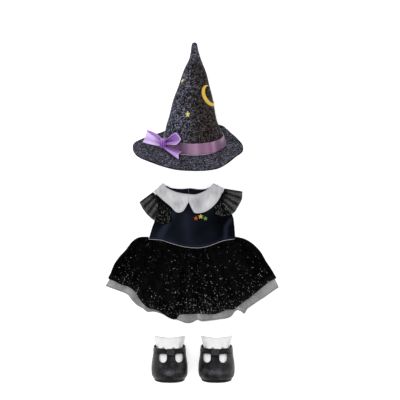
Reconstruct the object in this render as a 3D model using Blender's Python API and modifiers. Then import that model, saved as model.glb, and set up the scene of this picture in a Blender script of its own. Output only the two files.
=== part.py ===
"""Doll's witch costume laid out flat: a pointed hat, a gathered dress and a pair of shoes.

Everything lies on the plane z = 0. X runs to the right of the layout, Y toward the hat and
Z up. Sizes are in millimetres and become metres when a mesh is made.
"""
import math
from typing import NamedTuple

import bmesh
import bpy
from mathutils import Vector

MM = 0.001
SEAM = 0.35
# Middle of the laid-out set in the coordinates below, which becomes the origin
LAYOUT_MIDDLE = (1.45, 0.35)

HAT_WALL = 1.5
BRIM_WALL = 2.0
RIBBON_WALL = 1.0
VELVET_WALL = 1.2
COLLAR_WALL = 1.2
TULLE_WALL = 1.0
LEATHER_WALL = 1.5
STRAP_WALL = 1.2
SOCK_WALL = 1.0


class Skirt(NamedTuple):
    """One layer of the skirt, counted inward from the outside."""

    name: str
    material: str
    layer: int
    rows: int
    hem: list


class Shoe(NamedTuple):
    """Place of one shoe and the way its toe turns: 1 to the right, -1 to the left."""

    name: str
    middle: float
    turn: float


# Hat: ring where crown and brim meet, tilted so that the front of the brim stands up
RING_X = 5.1
RING_Y = 102.75
RING_Z = 52.0
RING_TILT = math.radians(22.0)
CROWN_RADIUS = 45.7
TIP_RADIUS = 3.9
CROWN_LENGTH = 163.8
CROWN_START = math.radians(8.0)
CROWN_DROOP = math.radians(52.0)
CROWN_BLEND = 0.3
CROWN_CELLS = 32
CROWN_ROWS = 8
# Share of the crown's length at which the tip starts to close
TIP_START = 0.985
BAND_FROM = 0.5
BAND_WIDTH = 15.0

# Bow: the knot sits at an azimuth of the ring, moved out and up; half sizes side, out and up
KNOT_AZIMUTH = math.radians(-67.0)
KNOT_OUT = 5.5
KNOT_UP = 8.5
KNOT_HALF = (4.2, 5.0, 7.6)
KNOT_POWER = 0.7
LOOP_ROOT = 5.3
LOOP_OPEN = 2.6
LOOP_ROOT_OPEN = 1.0
LOOP_FLAT = 0.9
# Left loop: out, low and high at the knot, then the places of its end in the layout
LOOP_LEFT_KNOT = (1.0, -5.6, 5.6)
LOOP_LEFT_END = [(-71.2, 105.6, 63.0), (-65.2, 123.2, 66.0)]
# Right loop: the same at the knot, then azimuth, share and height over the crown at its end
LOOP_RIGHT_KNOT = (-0.6, -1.0, 6.2)
LOOP_RIGHT_END = [(-31.0, 0.085, 7.0), (-39.0, 0.175, 7.0)]
LOOP_RIGHT_LIFT = (-45.0, 0.1)
# Tail: side, out and up from the knot, then right, front and up from the ring
TAIL_KNOT = [(4.6, 0.4, -6.6), (5.0, 0.4, -3.4)]
TAIL_END = [(-23.7, 70.5, 3.2), (-19.6, 48.8, 4.8)]

# Azimuth from the front, positive to the right; radius of the brim's edge; its rise
BRIM_EDGE = [
    (-180.0, 88.0, 0.0),
    (-152.0, 74.0, 1.0),
    (-140.0, 66.5, 2.0),
    (-124.8, 67.0, 2.0),
    (-105.4, 79.0, 2.0),
    (-89.4, 90.6, 2.0),
    (-76.7, 94.5, 1.0),
    (-63.0, 96.2, 0.0),
    (-46.7, 95.3, 0.0),
    (-31.0, 94.2, -2.0),
    (-17.5, 94.0, -3.5),
    (0.0, 94.0, -4.0),
    (12.0, 95.4, -3.5),
    (21.0, 96.5, -2.0),
    (32.5, 90.0, 0.0),
    (46.0, 84.0, 3.0),
    (60.0, 82.0, 5.0),
    (73.0, 75.8, 6.0),
    (96.4, 65.4, 6.0),
    (123.0, 66.0, 4.0),
    (142.0, 74.7, 2.0),
    (152.0, 81.0, 1.0),
    (180.0, 88.0, 0.0),
]

# Dress: x and y along its cut edges, as it lies
WAIST = [
    (-63.5, -40.3), (-45.5, -41.6), (-30.3, -46.4), (-15.0, -50.6), (0.2, -53.0),
    (15.3, -53.0), (30.6, -49.2), (45.8, -43.2), (57.2, -41.0), (65.6, -39.8),
]
SKIRT_LEFT = [
    (-63.5, -36.8), (-74.0, -36.5), (-81.6, -38.7), (-89.1, -44.4), (-97.7, -55.8),
    (-108.2, -67.2), (-115.8, -78.6), (-120.3, -90.0), (-124.4, -97.7), (-135.0, -114.0),
]
SKIRT_RIGHT = [
    (66.3, -36.3), (74.3, -37.8), (83.7, -41.1), (94.2, -48.3), (104.7, -59.7),
    (112.2, -72.9), (119.9, -84.3), (126.5, -95.7), (131.9, -104.5), (135.0, -114.0),
]
REACH_HALF_WIDTH = 135.0
REACH_TOP = -114.0
REACH_DEPTH = 58.0
REACH_POWER = 1.5
OVERLAY_HEM = [
    (-125.3, -99.6), (-115.8, -102.5), (-104.4, -108.2), (-93.0, -111.9), (-83.4, -119.6),
    (-77.7, -129.0), (-71.1, -137.6), (-63.5, -143.3), (-54.9, -145.2), (-45.5, -149.9),
    (-34.1, -157.5), (-22.7, -160.4), (-17.9, -153.8), (-3.6, -152.4), (21.0, -151.8),
    (34.4, -152.7), (45.8, -149.0), (55.2, -145.2), (64.8, -145.2), (76.2, -135.6),
    (87.6, -128.1), (99.0, -118.5), (110.4, -109.1), (117.9, -103.4), (126.5, -99.2),
]
PETTICOAT_HEM = [
    (-131.9, -109.1), (-121.5, -112.8), (-108.2, -117.6), (-94.8, -123.3), (-89.1, -131.0),
    (-81.6, -138.5), (-72.0, -144.2), (-65.4, -149.0), (-56.0, -148.5), (-39.0, -154.0),
    (-15.0, -163.2), (-5.6, -166.1), (3.9, -164.1), (8.7, -160.4), (15.3, -163.2),
    (26.7, -162.3), (41.0, -160.7), (59.1, -156.6), (67.7, -146.5), (74.3, -148.1),
    (80.0, -151.8), (83.7, -145.2), (91.4, -139.5), (102.8, -131.9), (114.2, -124.2),
    (123.6, -117.6), (131.9, -111.9),
]
LINING_SHORTER = 9.0

# Stacking of the skirt's layers: heights at the middle of each wall
FRONT_HEIGHT = 9.0
FRONT_STEP = 1.9
SIDE_STEP = 1.6
FOLD_DEPTHS = [3.5, 2.8, 1.6]
FLUTES = 9.5
FLUTE_VALLEY = math.radians(3.2)
FLUTE_APEX = (1.5, 28.0)
FLUTE_SPREAD = math.radians(44.0)
FLUTE_REACH = (75.0, 190.0)
FLUTE_AT_WAIST = 0.5
FLUTE_AT_HEM = 3.6
FRONT_CELLS = 44
BACK_CELLS = 12
FOLD_CELLS = 3

# Bodice
FRONT_TOP = [
    (-52.5, 27.8), (-45.5, 34.0), (-38.5, 40.2), (-34.5, 35.7), (-24.0, 29.8), (-15.0, 27.4),
    (-3.6, 25.6), (7.8, 25.6), (21.0, 30.9), (27.5, 36.2), (31.5, 39.2), (39.0, 35.8), (46.7, 32.1),
]
BACK_TOP = [
    (-52.5, 27.8), (-45.5, 34.0), (-38.5, 40.2), (-30.0, 37.0), (-15.0, 35.4), (-0.7, 36.3),
    (10.0, 34.9), (22.0, 35.4), (31.5, 39.2), (39.0, 35.8), (46.7, 32.1),
]
BODICE_LEFT = [
    (-63.3, -36.2), (-58.5, -23.0), (-53.1, -8.0), (-49.7, 8.3), (-50.5, 20.0), (-52.5, 27.8),
]
BODICE_RIGHT = [
    (66.1, -35.7), (64.8, -20.0), (62.1, -4.5), (50.5, 10.0), (47.5, 22.0), (46.7, 32.1),
]
# y, left limit and right limit that the front's height follows
BODICE_SPREAD = [
    (-53.0, -63.5, 66.3), (-36.0, -63.5, 66.3), (-8.0, -53.5, 62.0), (10.0, -50.0, 51.0),
    (28.0, -52.0, 48.0),
]
WAIST_SEAM = 0.7
BODICE_SIDE_HEIGHT = 3.8
BODICE_RISE = 2.9
BODICE_BACK_HEIGHT = 2.15
BACK_OPENING = 0.006

# Collar halves and sleeves: from the front end (share 0) to the shoulder fold (share 1)
COLLAR_LEFT_NECK = [(-4.0, 27.3), (-15.0, 29.1), (-24.6, 31.5), (-36.0, 37.2), (-41.7, 43.9)]
COLLAR_LEFT_EDGE = [
    (-4.3, 15.6), (-11.3, 3.0), (-16.0, 0.2), (-22.7, 0.8), (-30.3, 8.7), (-41.7, 18.3), (-56.0, 31.5),
]
COLLAR_RIGHT_NECK = [(-3.2, 27.3), (7.8, 27.3), (21.0, 32.6), (28.7, 38.3), (33.5, 43.4)]
COLLAR_RIGHT_EDGE = [
    (-2.9, 15.6), (3.0, 2.1), (6.0, -0.7), (13.4, -0.8), (23.0, 2.1), (34.4, 10.7), (42.9, 22.0),
    (48.6, 36.3),
]
SLEEVE_LEFT_SEAM = [(-29.0, 5.4), (-31.3, 7.7), (-42.6, 17.3), (-57.2, 30.5)]
SLEEVE_LEFT_HEM = [
    (-28.7, -14.3), (-42.2, -18.0), (-54.9, -12.2), (-64.5, -4.5), (-72.0, 5.0), (-77.7, 15.5),
]
SLEEVE_RIGHT_SEAM = [(34.3, 8.8), (35.4, 9.9), (44.0, 21.6), (49.8, 35.9)]
SLEEVE_RIGHT_HEM = [
    (35.3, -2.5), (50.9, -6.0), (63.8, -0.8), (70.4, 8.7), (76.2, 20.3), (77.1, 31.5),
]
COLLAR_FOLD = 3.2
SLEEVE_FOLD = 3.0
SLEEVE_FLUTES = 6.0
SLEEVE_FLUTE_HEIGHT = 1.8
STRIP_FLAT = 0.4

# Shoes lie on their backs: along is the way up the leg, out is the way the toe points
SHOE_LEAN = math.radians(6.0)
SHOE_LINE = -251.3
SOLE_HALF_LENGTH = 37.0
SOLE_SIDES = 24
SHOE_ROUND = 2.3
# along, half width, front, back
SOLE_FORM = [(0.0, 21.5, 31.5, -37.0), (1.2, 22.6, 32.6, -37.0), (5.0, 23.4, 33.4, -36.4)]
UPPER_FORM = [
    (5.3, 23.6, 33.6, -35.4), (9.0, 25.6, 35.8, -36.1), (16.0, 26.5, 36.4, -36.1),
    (24.0, 26.2, 34.4, -35.9), (31.0, 25.2, 29.5, -35.5), (38.0, 24.2, 22.0, -35.2),
    (45.0, 23.3, 14.0, -35.0), (53.0, 22.3, 6.0, -34.8),
]
UPPER_TOP = 50.5
UPPER_TOP_SLOPE = 2.0
STRAP_FROM = 43.0
STRAP_TO = 48.3
STRAP_REACH = math.radians(100.0)
VAMP_SLOPE = 1.65
CUTOUT_LOW = 30.2
CUTOUT_HIGH = 42.2
CUTOUT_WIDTH = 11.6
CUTOUT_APART = 24.4
CUTOUT_SHIFT = 2.4
SOCK_FORM = [
    (7.0, 19.0, 27.0, -29.0), (12.0, 23.2, 32.6, -33.4), (22.0, 24.0, 31.8, -33.8),
    (30.0, 23.2, 26.6, -33.5), (38.0, 22.0, 18.4, -33.1), (46.0, 19.4, 8.6, -31.8),
    (54.0, 17.4, 5.0, -31.4), (60.0, 18.6, 4.2, -34.6), (66.0, 20.4, 3.6, -37.8),
]
FRILL_FORM = [
    (49.6, 20.4, 8.8, -32.8), (54.0, 20.6, 8.4, -35.6), (60.0, 22.1, 7.6, -39.4), (66.8, 23.6, 7.0, -43.7),
]
LEATHER_TO_FRILL = 0.8
FRILL_FLUTES = 11
FRILL_FLUTE = 0.6

SHOES = [Shoe("left", -32.2, 1.0), Shoe("right", 38.1, -1.0)]


def hermite(low, high, low_slope, high_slope, share):
    """A value between two others on a cubic with given end slopes."""
    square = share * share
    cube = square * share
    return (
        low * (2.0 * cube - 3.0 * square + 1.0)
        + low_slope * (cube - 2.0 * square + share)
        + high * (3.0 * square - 2.0 * cube)
        + high_slope * (cube - square)
    )


def read(table, key):
    """The columns beside key, on a smooth line through the rows of a table."""
    key = min(max(key, table[0][0]), table[-1][0])
    row = 0
    while row < len(table) - 2 and key > table[row + 1][0]:
        row += 1
    low = table[row]
    high = table[row + 1]
    before = table[max(row - 1, 0)]
    after = table[min(row + 2, len(table) - 1)]
    span = high[0] - low[0]
    values = []
    for column in range(1, len(low)):
        low_slope = span * (high[column] - before[column]) / (high[0] - before[0])
        high_slope = span * (after[column] - low[column]) / (after[0] - low[0])
        share = (key - low[0]) / span
        values.append(hermite(low[column], high[column], low_slope, high_slope, share))
    return values


class Edge:
    """A smooth cut edge through its points, read by its share of length."""

    def __init__(self, points):
        lengths = [0.0]
        for start, end in zip(points, points[1:]):
            lengths.append(lengths[-1] + math.dist(start, end))
        self.length = lengths[-1]
        self.table = [(length / self.length, *point) for length, point in zip(lengths, points)]

    def at(self, share):
        return Vector(read(self.table, share))

    def beside(self, share, distance):
        """A place at a distance to the left of the edge, seen along it."""
        step = 0.01
        ahead = self.at(share + step) - self.at(share - step)
        ahead.normalize()
        return self.at(share) + distance * Vector((-ahead.y, ahead.x))

    def shifted(self, distance):
        """The edge moved sideways by a distance, to its left."""
        count = 16
        return Edge([tuple(self.beside(step / count, distance)) for step in range(count + 1)])


def patch(bottom, top, left, right):
    """A flat panel between four edges: share across and share up give x and y."""
    corners = [bottom.at(0.0), bottom.at(1.0), top.at(0.0), top.at(1.0)]

    def place(across, up):
        rows = bottom.at(across) * (1.0 - up) + top.at(across) * up
        columns = left.at(up) * (1.0 - across) + right.at(up) * across
        low = corners[0] * (1.0 - across) + corners[1] * across
        high = corners[2] * (1.0 - across) + corners[3] * across
        return rows + columns - low * (1.0 - up) - high * up

    return place


def finish(name, colour, roughness, metallic=0.0):
    """A plain material for one kind of cloth or leather."""
    material = bpy.data.materials.new(name)
    material.use_nodes = True
    shader = material.node_tree.nodes["Principled BSDF"]
    shader.inputs["Base Color"].default_value = (*colour, 1.0)
    shader.inputs["Roughness"].default_value = roughness
    shader.inputs["Metallic"].default_value = metallic
    return material


def make_finishes():
    """All the costume's materials by name."""
    return {
        "hat_cloth": finish("hat_cloth", (0.035, 0.035, 0.042), 0.75),
        "ribbon": finish("ribbon", (0.36, 0.16, 0.45), 0.35),
        "velvet": finish("velvet", (0.012, 0.014, 0.022), 0.8),
        "collar_knit": finish("collar_knit", (0.78, 0.78, 0.8), 0.85),
        "dotted_tulle": finish("dotted_tulle", (0.012, 0.012, 0.014), 0.7),
        "black_lining": finish("black_lining", (0.008, 0.008, 0.01), 0.8),
        "grey_tulle": finish("grey_tulle", (0.28, 0.28, 0.29), 0.8),
        "black_leather": finish("black_leather", (0.02, 0.02, 0.022), 0.4),
        "sole_rubber": finish("sole_rubber", (0.012, 0.012, 0.012), 0.7),
        "white_knit": finish("white_knit", (0.82, 0.81, 0.8), 0.85),
    }


def layout_origin():
    """Where an object made in layout coordinates is placed, so that the set is centred."""
    return Vector((-LAYOUT_MIDDLE[0], -LAYOUT_MIDDLE[1], 0.0)) * MM


class Workshop:
    """Makes named solids in the costume's collection."""

    def __init__(self):
        self.finishes = make_finishes()
        self.parts = bpy.data.collections.new("witch_costume")
        self.cutters = bpy.data.collections.new("cutters")
        for collection in (self.parts, self.cutters):
            bpy.context.scene.collection.children.link(collection)

    def add(self, name, material, shape):
        """A new object from a finished bmesh."""
        mesh = bpy.data.meshes.new(name)
        shape.normal_update()
        bmesh.ops.recalc_face_normals(shape, faces=shape.faces)
        shape.to_mesh(mesh)
        shape.free()
        mesh.materials.append(self.finishes[material])
        mesh.shade_smooth()
        solid = bpy.data.objects.new(name, mesh)
        solid.location = layout_origin()
        self.parts.objects.link(solid)
        return solid

    def sheet(self, name, material, cells, place, wall):
        """A cloth wall whose middle surface is place(share across, share along)."""
        shape = bmesh.new()
        bmesh.ops.create_grid(shape, x_segments=cells[0], y_segments=cells[1], size=0.5)
        for vertex in shape.verts:
            across = round((vertex.co.x + 0.5) * cells[0]) / cells[0]
            along = round((vertex.co.y + 0.5) * cells[1]) / cells[1]
            vertex.co = Vector(place(across, along)) * MM
        bmesh.ops.remove_doubles(shape, verts=shape.verts, dist=0.01 * MM)
        solid = self.add(name, material, shape)
        thicken = solid.modifiers.new("wall", "SOLIDIFY")
        thicken.thickness = wall * MM
        thicken.offset = 0.0
        return solid

    def cut(self, solid, name, outline, low, high, frame):
        """Cut a prism through a solid: outline in the frame's first two axes."""
        shape = bmesh.new()
        ends = []
        for depth in (low, high):
            ends.append([shape.verts.new(Vector(frame(*point, depth)) * MM) for point in outline])
        count = len(outline)
        shape.faces.new(ends[0])
        shape.faces.new(ends[1])
        for index in range(count):
            after = (index + 1) % count
            shape.faces.new((ends[0][index], ends[0][after], ends[1][after], ends[1][index]))
        shape.normal_update()
        bmesh.ops.recalc_face_normals(shape, faces=shape.faces)
        mesh = bpy.data.meshes.new(name)
        shape.to_mesh(mesh)
        shape.free()
        cutter = bpy.data.objects.new(name, mesh)
        cutter.location = layout_origin()
        self.cutters.objects.link(cutter)
        cutter.hide_render = True
        cutter.display_type = "WIRE"
        hole = solid.modifiers.new(name, "BOOLEAN")
        hole.operation = "DIFFERENCE"
        hole.object = cutter


def hat_point(right, front, up):
    """A place given from the middle of the hat's ring, in the ring's own axes."""
    return Vector((
        RING_X + right,
        RING_Y - front * math.sin(RING_TILT) + up * math.cos(RING_TILT),
        RING_Z + front * math.cos(RING_TILT) + up * math.sin(RING_TILT),
    ))


def crown_middle(share):
    """The crown's middle line: it leaves the ring nearly level and droops to the table."""
    angle = CROWN_START - CROWN_DROOP * share
    forward = (math.sin(CROWN_START) - math.sin(angle)) / CROWN_DROOP
    rise = (math.cos(angle) - math.cos(CROWN_START)) / CROWN_DROOP
    return Vector((RING_X, RING_Y + CROWN_LENGTH * forward, RING_Z + CROWN_LENGTH * rise))


def crown_point(azimuth, share, out=0.0):
    """A place on the crown's middle surface, moved out from it by a distance."""
    blend = min(share / CROWN_BLEND, 1.0)
    along = CROWN_START - CROWN_DROOP * share
    tilt = RING_TILT * (1.0 - blend) + along * blend
    radius = CROWN_RADIUS + (TIP_RADIUS - CROWN_RADIUS) * share + out
    across = radius * math.sin(azimuth)
    front = radius * math.cos(azimuth)
    return crown_middle(share) + Vector((across, -front * math.sin(tilt), front * math.cos(tilt)))


def make_crown(shop):
    """The pointed crown: a drooping cone with a rounded closed tip."""

    def place(across, along):
        azimuth = 2.0 * math.pi * (across % 1.0)
        if along < 1.0:
            return crown_point(azimuth, along * TIP_START * (CROWN_ROWS + 1) / CROWN_ROWS)
        return crown_point(azimuth, 1.0, -TIP_RADIUS)

    shop.sheet("hat_crown", "hat_cloth", (CROWN_CELLS, CROWN_ROWS + 1), place, HAT_WALL)


def brim_point(azimuth, share):
    """A place on the brim; what would pass the table is laid on it, under the crown."""
    radius_edge, rise = read(BRIM_EDGE, math.degrees(azimuth))
    radius = CROWN_RADIUS + (radius_edge - CROWN_RADIUS) * share
    up = -SEAM - BRIM_WALL / 2.0 + rise * share * share
    spot = hat_point(radius * math.sin(azimuth), radius * math.cos(azimuth), up)
    below = BRIM_WALL / 2.0 - spot.z
    if below > 0.0:
        spot.y += below * (1.0 - math.sin(RING_TILT)) / math.cos(RING_TILT)
        spot.z = BRIM_WALL / 2.0
    return spot


def make_brim(shop):
    """The wide brim, curled up at the right and pressed flat where it rests."""

    def place(across, along):
        return brim_point(2.0 * math.pi * (across % 1.0) - math.pi, along)

    shop.sheet("hat_brim", "hat_cloth", (48, 4), place, BRIM_WALL)


def make_band(shop):
    """The ribbon round the foot of the crown."""
    out = (HAT_WALL + RIBBON_WALL) / 2.0 + SEAM

    def place(across, along):
        share = (BAND_FROM + BAND_WIDTH * along) / CROWN_LENGTH
        return crown_point(2.0 * math.pi * (across % 1.0), share, out)

    shop.sheet("hat_band", "ribbon", (CROWN_CELLS, 1), place, RIBBON_WALL)


def knot_point(side, out, up):
    """A place from the middle of the bow's knot: to the front side, outward and up."""
    radius = CROWN_RADIUS + KNOT_OUT + out
    right = radius * math.sin(KNOT_AZIMUTH) + side * math.cos(KNOT_AZIMUTH)
    front = radius * math.cos(KNOT_AZIMUTH) - side * math.sin(KNOT_AZIMUTH)
    return hat_point(right, front, KNOT_UP + up)


def quad_point(corners, along, across):
    """A place on a four-cornered piece: root low, root high, end low, end high."""
    low = corners[0].lerp(corners[2], along)
    high = corners[1].lerp(corners[3], along)
    return low.lerp(high, across)


def make_loop(shop, name, corners, lift):
    """A ribbon loop: out on top, round its end and back underneath."""

    def place(across, along):
        reach, raised = strip_share(across, LOOP_FLAT)
        spread = LOOP_ROOT_OPEN + (LOOP_OPEN - LOOP_ROOT_OPEN) * math.sin(0.5 * math.pi * reach)
        spot = quad_point(corners, reach, along)
        return spot + lift * spread * (2.0 * raised - 1.0)

    shop.sheet(name, "ribbon", (15, 2), place, RIBBON_WALL)


def make_bow(shop):
    """The bow at the left of the band: knot, two loops and one tail."""
    shape = bmesh.new()
    bmesh.ops.create_uvsphere(shape, u_segments=12, v_segments=6, radius=1.0)
    for vertex in shape.verts:
        side, out, up = (math.copysign(abs(value) ** KNOT_POWER, value) for value in vertex.co)
        vertex.co = knot_point(side * KNOT_HALF[0], out * KNOT_HALF[1], up * KNOT_HALF[2]) * MM
    shop.add("bow_knot", "ribbon", shape)

    out, low, high = LOOP_LEFT_KNOT
    left = [knot_point(-LOOP_ROOT, out, low), knot_point(-LOOP_ROOT, out, high)]
    left.extend(Vector(point) for point in LOOP_LEFT_END)
    make_loop(shop, "bow_loop_left", left, knot_point(0.0, 1.0, 0.0) - knot_point(0.0, 0.0, 0.0))

    out, low, high = LOOP_RIGHT_KNOT
    right = [knot_point(LOOP_ROOT, out, low), knot_point(LOOP_ROOT, out, high)]
    for azimuth, share, above in LOOP_RIGHT_END:
        right.append(crown_point(math.radians(azimuth), share, above))
    azimuth, share = LOOP_RIGHT_LIFT
    azimuth = math.radians(azimuth)
    upward = crown_point(azimuth, share, 1.0) - crown_point(azimuth, share, 0.0)
    make_loop(shop, "bow_loop_right", right, upward)

    tail = [knot_point(*point) for point in TAIL_KNOT]
    tail.extend(hat_point(*point) for point in TAIL_END)

    def place(across, along):
        return quad_point(tail, across, along)

    shop.sheet("bow_tail", "ribbon", (4, 2), place, RIBBON_WALL)


def strip_share(share, edge):
    """Along a folded strip: how far out it is, and 1 on top, 0 underneath."""
    if share <= STRIP_FLAT:
        return edge * share / STRIP_FLAT, 1.0
    if share >= 1.0 - STRIP_FLAT:
        return edge * (1.0 - share) / STRIP_FLAT, 0.0
    turn = math.pi * (share - STRIP_FLAT) / (1.0 - 2.0 * STRIP_FLAT)
    return edge + (1.0 - edge) * math.sin(turn), 0.5 + 0.5 * math.cos(turn)


def ring_share(index):
    """Round a flattened tube by cell: share across, place in the fold, and 1 on top, 0 below."""
    if index <= FRONT_CELLS:
        return index / FRONT_CELLS, 0.0, 1.0
    index -= FRONT_CELLS
    if index <= FOLD_CELLS:
        turn = math.pi * index / FOLD_CELLS
        return 1.0, math.sin(turn), 0.5 + 0.5 * math.cos(turn)
    index -= FOLD_CELLS
    if index <= BACK_CELLS:
        return 1.0 - index / BACK_CELLS, 0.0, 0.0
    turn = math.pi * (index - BACK_CELLS) / FOLD_CELLS
    return 0.0, math.sin(turn), 0.5 - 0.5 * math.cos(turn)


def reach_edge():
    """A smooth arc a little beyond every hem, on which the skirt's panel ends."""
    points = []
    for step in range(13):
        turn = math.pi * step / 12.0
        drop = REACH_DEPTH * abs(math.sin(turn)) ** REACH_POWER
        points.append((-REACH_HALF_WIDTH * math.cos(turn), REACH_TOP - drop))
    return Edge(points)


def skirt_height(x, y):
    """Height of the outer layer's front: gathers that fan out and open toward the hem."""
    right = x - FLUTE_APEX[0]
    down = FLUTE_APEX[1] - y
    angle = math.atan2(right, down)
    fade = max(1.0 - (abs(angle) / FLUTE_SPREAD) ** 6, 0.0)
    near, far = FLUTE_REACH
    opened = (math.hypot(right, down) - near) / (far - near)
    deep = FLUTE_AT_WAIST + (FLUTE_AT_HEM - FLUTE_AT_WAIST) * min(max(opened, 0.0), 1.0)
    wave = 0.5 - 0.5 * math.cos(math.pi * FLUTES * (angle - FLUTE_VALLEY) / FLUTE_SPREAD)
    return FRONT_HEIGHT + deep * wave * fade


def hem_share(panel, across, hem):
    """How far down the panel a layer ends, found by halving."""
    low, high = 0.4, 1.0
    for _ in range(24):
        middle = 0.5 * (low + high)
        spot = panel(across, middle)
        if spot.y > read(hem, spot.x)[0]:
            low = middle
        else:
            high = middle
    return low


def skirt_panel(layer):
    """The flat part of a layer, between its folded sides, and those sides' outer edges."""
    inset = layer * SIDE_STEP
    depth = inset + FOLD_DEPTHS[layer]
    left = Edge(SKIRT_LEFT)
    right = Edge(SKIRT_RIGHT)
    left_fold = left.shifted(depth)
    right_fold = right.shifted(-depth)
    waist = [tuple(left_fold.at(0.0)), *WAIST[1:-1], tuple(right_fold.at(0.0))]
    panel = patch(Edge(waist), reach_edge(), left_fold, right_fold)
    return panel, left.shifted(inset), right.shifted(-inset)


def make_skirt(shop, skirt):
    """One layer of the skirt: a flattened tube, flat below and fluted on top."""
    cells = FRONT_CELLS + BACK_CELLS + 2 * FOLD_CELLS
    back = TULLE_WALL / 2.0 + skirt.layer * (TULLE_WALL + SEAM)
    panel, left, right = skirt_panel(skirt.layer)
    hems = {}

    def place(around, down):
        across, folded, raised = ring_share(round((around % 1.0) * cells))
        if across not in hems:
            hems[across] = hem_share(panel, across, skirt.hem)
        down *= hems[across]
        spot = panel(across, down)
        if folded > 0.0:
            outer = left if across == 0.0 else right
            spot = spot.lerp(outer.at(down), folded)
        front = skirt_height(spot.x, spot.y) - skirt.layer * FRONT_STEP
        return spot.x, spot.y, back + (front - back) * raised

    shop.sheet(skirt.name, skirt.material, (cells, skirt.rows), place, TULLE_WALL)


def bodice_height(x, y):
    """Height of the bodice front's middle surface over the table."""
    left, right = read(BODICE_SPREAD, y)
    side = min(max(2.0 * (x - left) / (right - left) - 1.0, -1.0), 1.0)
    return BODICE_SIDE_HEIGHT + BODICE_RISE * (1.0 - side ** 4)


def make_bodice(shop):
    """The velvet front panel, and two back panels that meet at the centre opening."""
    inner = [(x, y + WAIST_SEAM) for x, y in WAIST[1:-1]]
    seam_line = Edge([BODICE_LEFT[0], *inner, BODICE_RIGHT[0]])
    left = Edge(BODICE_LEFT)
    right = Edge(BODICE_RIGHT)
    front = patch(seam_line, Edge(FRONT_TOP), left, right)
    back = patch(seam_line, Edge(BACK_TOP), left, right)

    def place_front(across, up):
        spot = front(across, up)
        return spot.x, spot.y, bodice_height(spot.x, spot.y)

    shop.sheet("bodice_front", "velvet", (14, 6), place_front, VELVET_WALL)

    for name, start in (("bodice_back_left", 0.0), ("bodice_back_right", 0.5 + BACK_OPENING / 2.0)):

        def place_back(across, up, start=start):
            spot = back(start + across * (0.5 - BACK_OPENING / 2.0), up)
            return spot.x, spot.y, BODICE_BACK_HEIGHT

        shop.sheet(name, "velvet", (6, 5), place_back, VELVET_WALL)


def make_collar(shop, name, neck_points, edge_points):
    """Half of the collar: on the front, over the shoulder and down the back."""
    neck = Edge(neck_points)
    edge = Edge(edge_points)
    fold = 1.0 - COLLAR_FOLD / (0.5 * (neck.length + edge.length))
    back = COLLAR_WALL / 2.0

    def place(across, along):
        reach, raised = strip_share(across, fold)
        spot = neck.at(reach).lerp(edge.at(reach), along)
        front = bodice_height(spot.x, spot.y) + (VELVET_WALL + COLLAR_WALL) / 2.0 + SEAM
        return spot.x, spot.y, back + (front - back) * raised

    shop.sheet(name, "collar_knit", (20, 3), place, COLLAR_WALL)


def make_sleeve(shop, name, seam_points, hem_points):
    """A flutter sleeve: a gathered strip from the front, over the shoulder, to the back."""
    seam = Edge(seam_points)
    hem = Edge(hem_points)
    fold = 1.0 - SLEEVE_FOLD / (0.5 * (seam.length + hem.length))
    back = TULLE_WALL / 2.0

    def place(across, along):
        reach, raised = strip_share(across, fold)
        spot = seam.at(reach).lerp(hem.at(reach), along)
        front = bodice_height(spot.x, spot.y) + (VELVET_WALL + TULLE_WALL) / 2.0 + SEAM
        wave = 0.5 - 0.5 * math.cos(2.0 * math.pi * SLEEVE_FLUTES * reach)
        front += SLEEVE_FLUTE_HEIGHT * wave * along
        return spot.x, spot.y, back + (front - back) * raised

    shop.sheet(name, "dotted_tulle", (40, 3), place, TULLE_WALL)


def make_dress(shop):
    """The dress: bodice, collar halves, sleeves and the skirt's three layers."""
    lining_hem = [(x, y + LINING_SHORTER) for x, y in OVERLAY_HEM]
    skirts = [
        Skirt("skirt_overlay", "dotted_tulle", 0, 6, OVERLAY_HEM),
        Skirt("skirt_lining", "black_lining", 1, 5, lining_hem),
        Skirt("petticoat", "grey_tulle", 2, 6, PETTICOAT_HEM),
    ]
    for skirt in skirts:
        make_skirt(shop, skirt)
    make_bodice(shop)
    make_collar(shop, "collar_left", COLLAR_LEFT_NECK, COLLAR_LEFT_EDGE)
    make_collar(shop, "collar_right", COLLAR_RIGHT_NECK, COLLAR_RIGHT_EDGE)
    make_sleeve(shop, "sleeve_left", SLEEVE_LEFT_SEAM, SLEEVE_LEFT_HEM)
    make_sleeve(shop, "sleeve_right", SLEEVE_RIGHT_SEAM, SLEEVE_RIGHT_HEM)


def shoe_frame(middle):
    """The shoe's own axes: across, up the leg, and out toward the toe."""
    height = SOLE_HALF_LENGTH * math.cos(SHOE_LEAN)

    def frame(across, along, out):
        return Vector((
            middle + across,
            SHOE_LINE + along * math.cos(SHOE_LEAN) - out * math.sin(SHOE_LEAN),
            height + out * math.cos(SHOE_LEAN) + along * math.sin(SHOE_LEAN),
        ))

    return frame


def shoe_section(form, azimuth, along, grow=0.0, grow_out=None):
    """Across and out on a rounded section of a shoe form, azimuth 0 at the toe."""
    grow_out = grow if grow_out is None else grow_out
    half_width, front, back = read(form, along)
    power = 2.0 / SHOE_ROUND
    sine = math.sin(azimuth)
    cosine = math.cos(azimuth)
    across = (half_width + grow) * math.copysign(abs(sine) ** power, sine)
    middle = 0.5 * (front + back)
    out = middle + (0.5 * (front - back) + grow_out) * math.copysign(abs(cosine) ** power, cosine)
    return across, out


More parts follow.
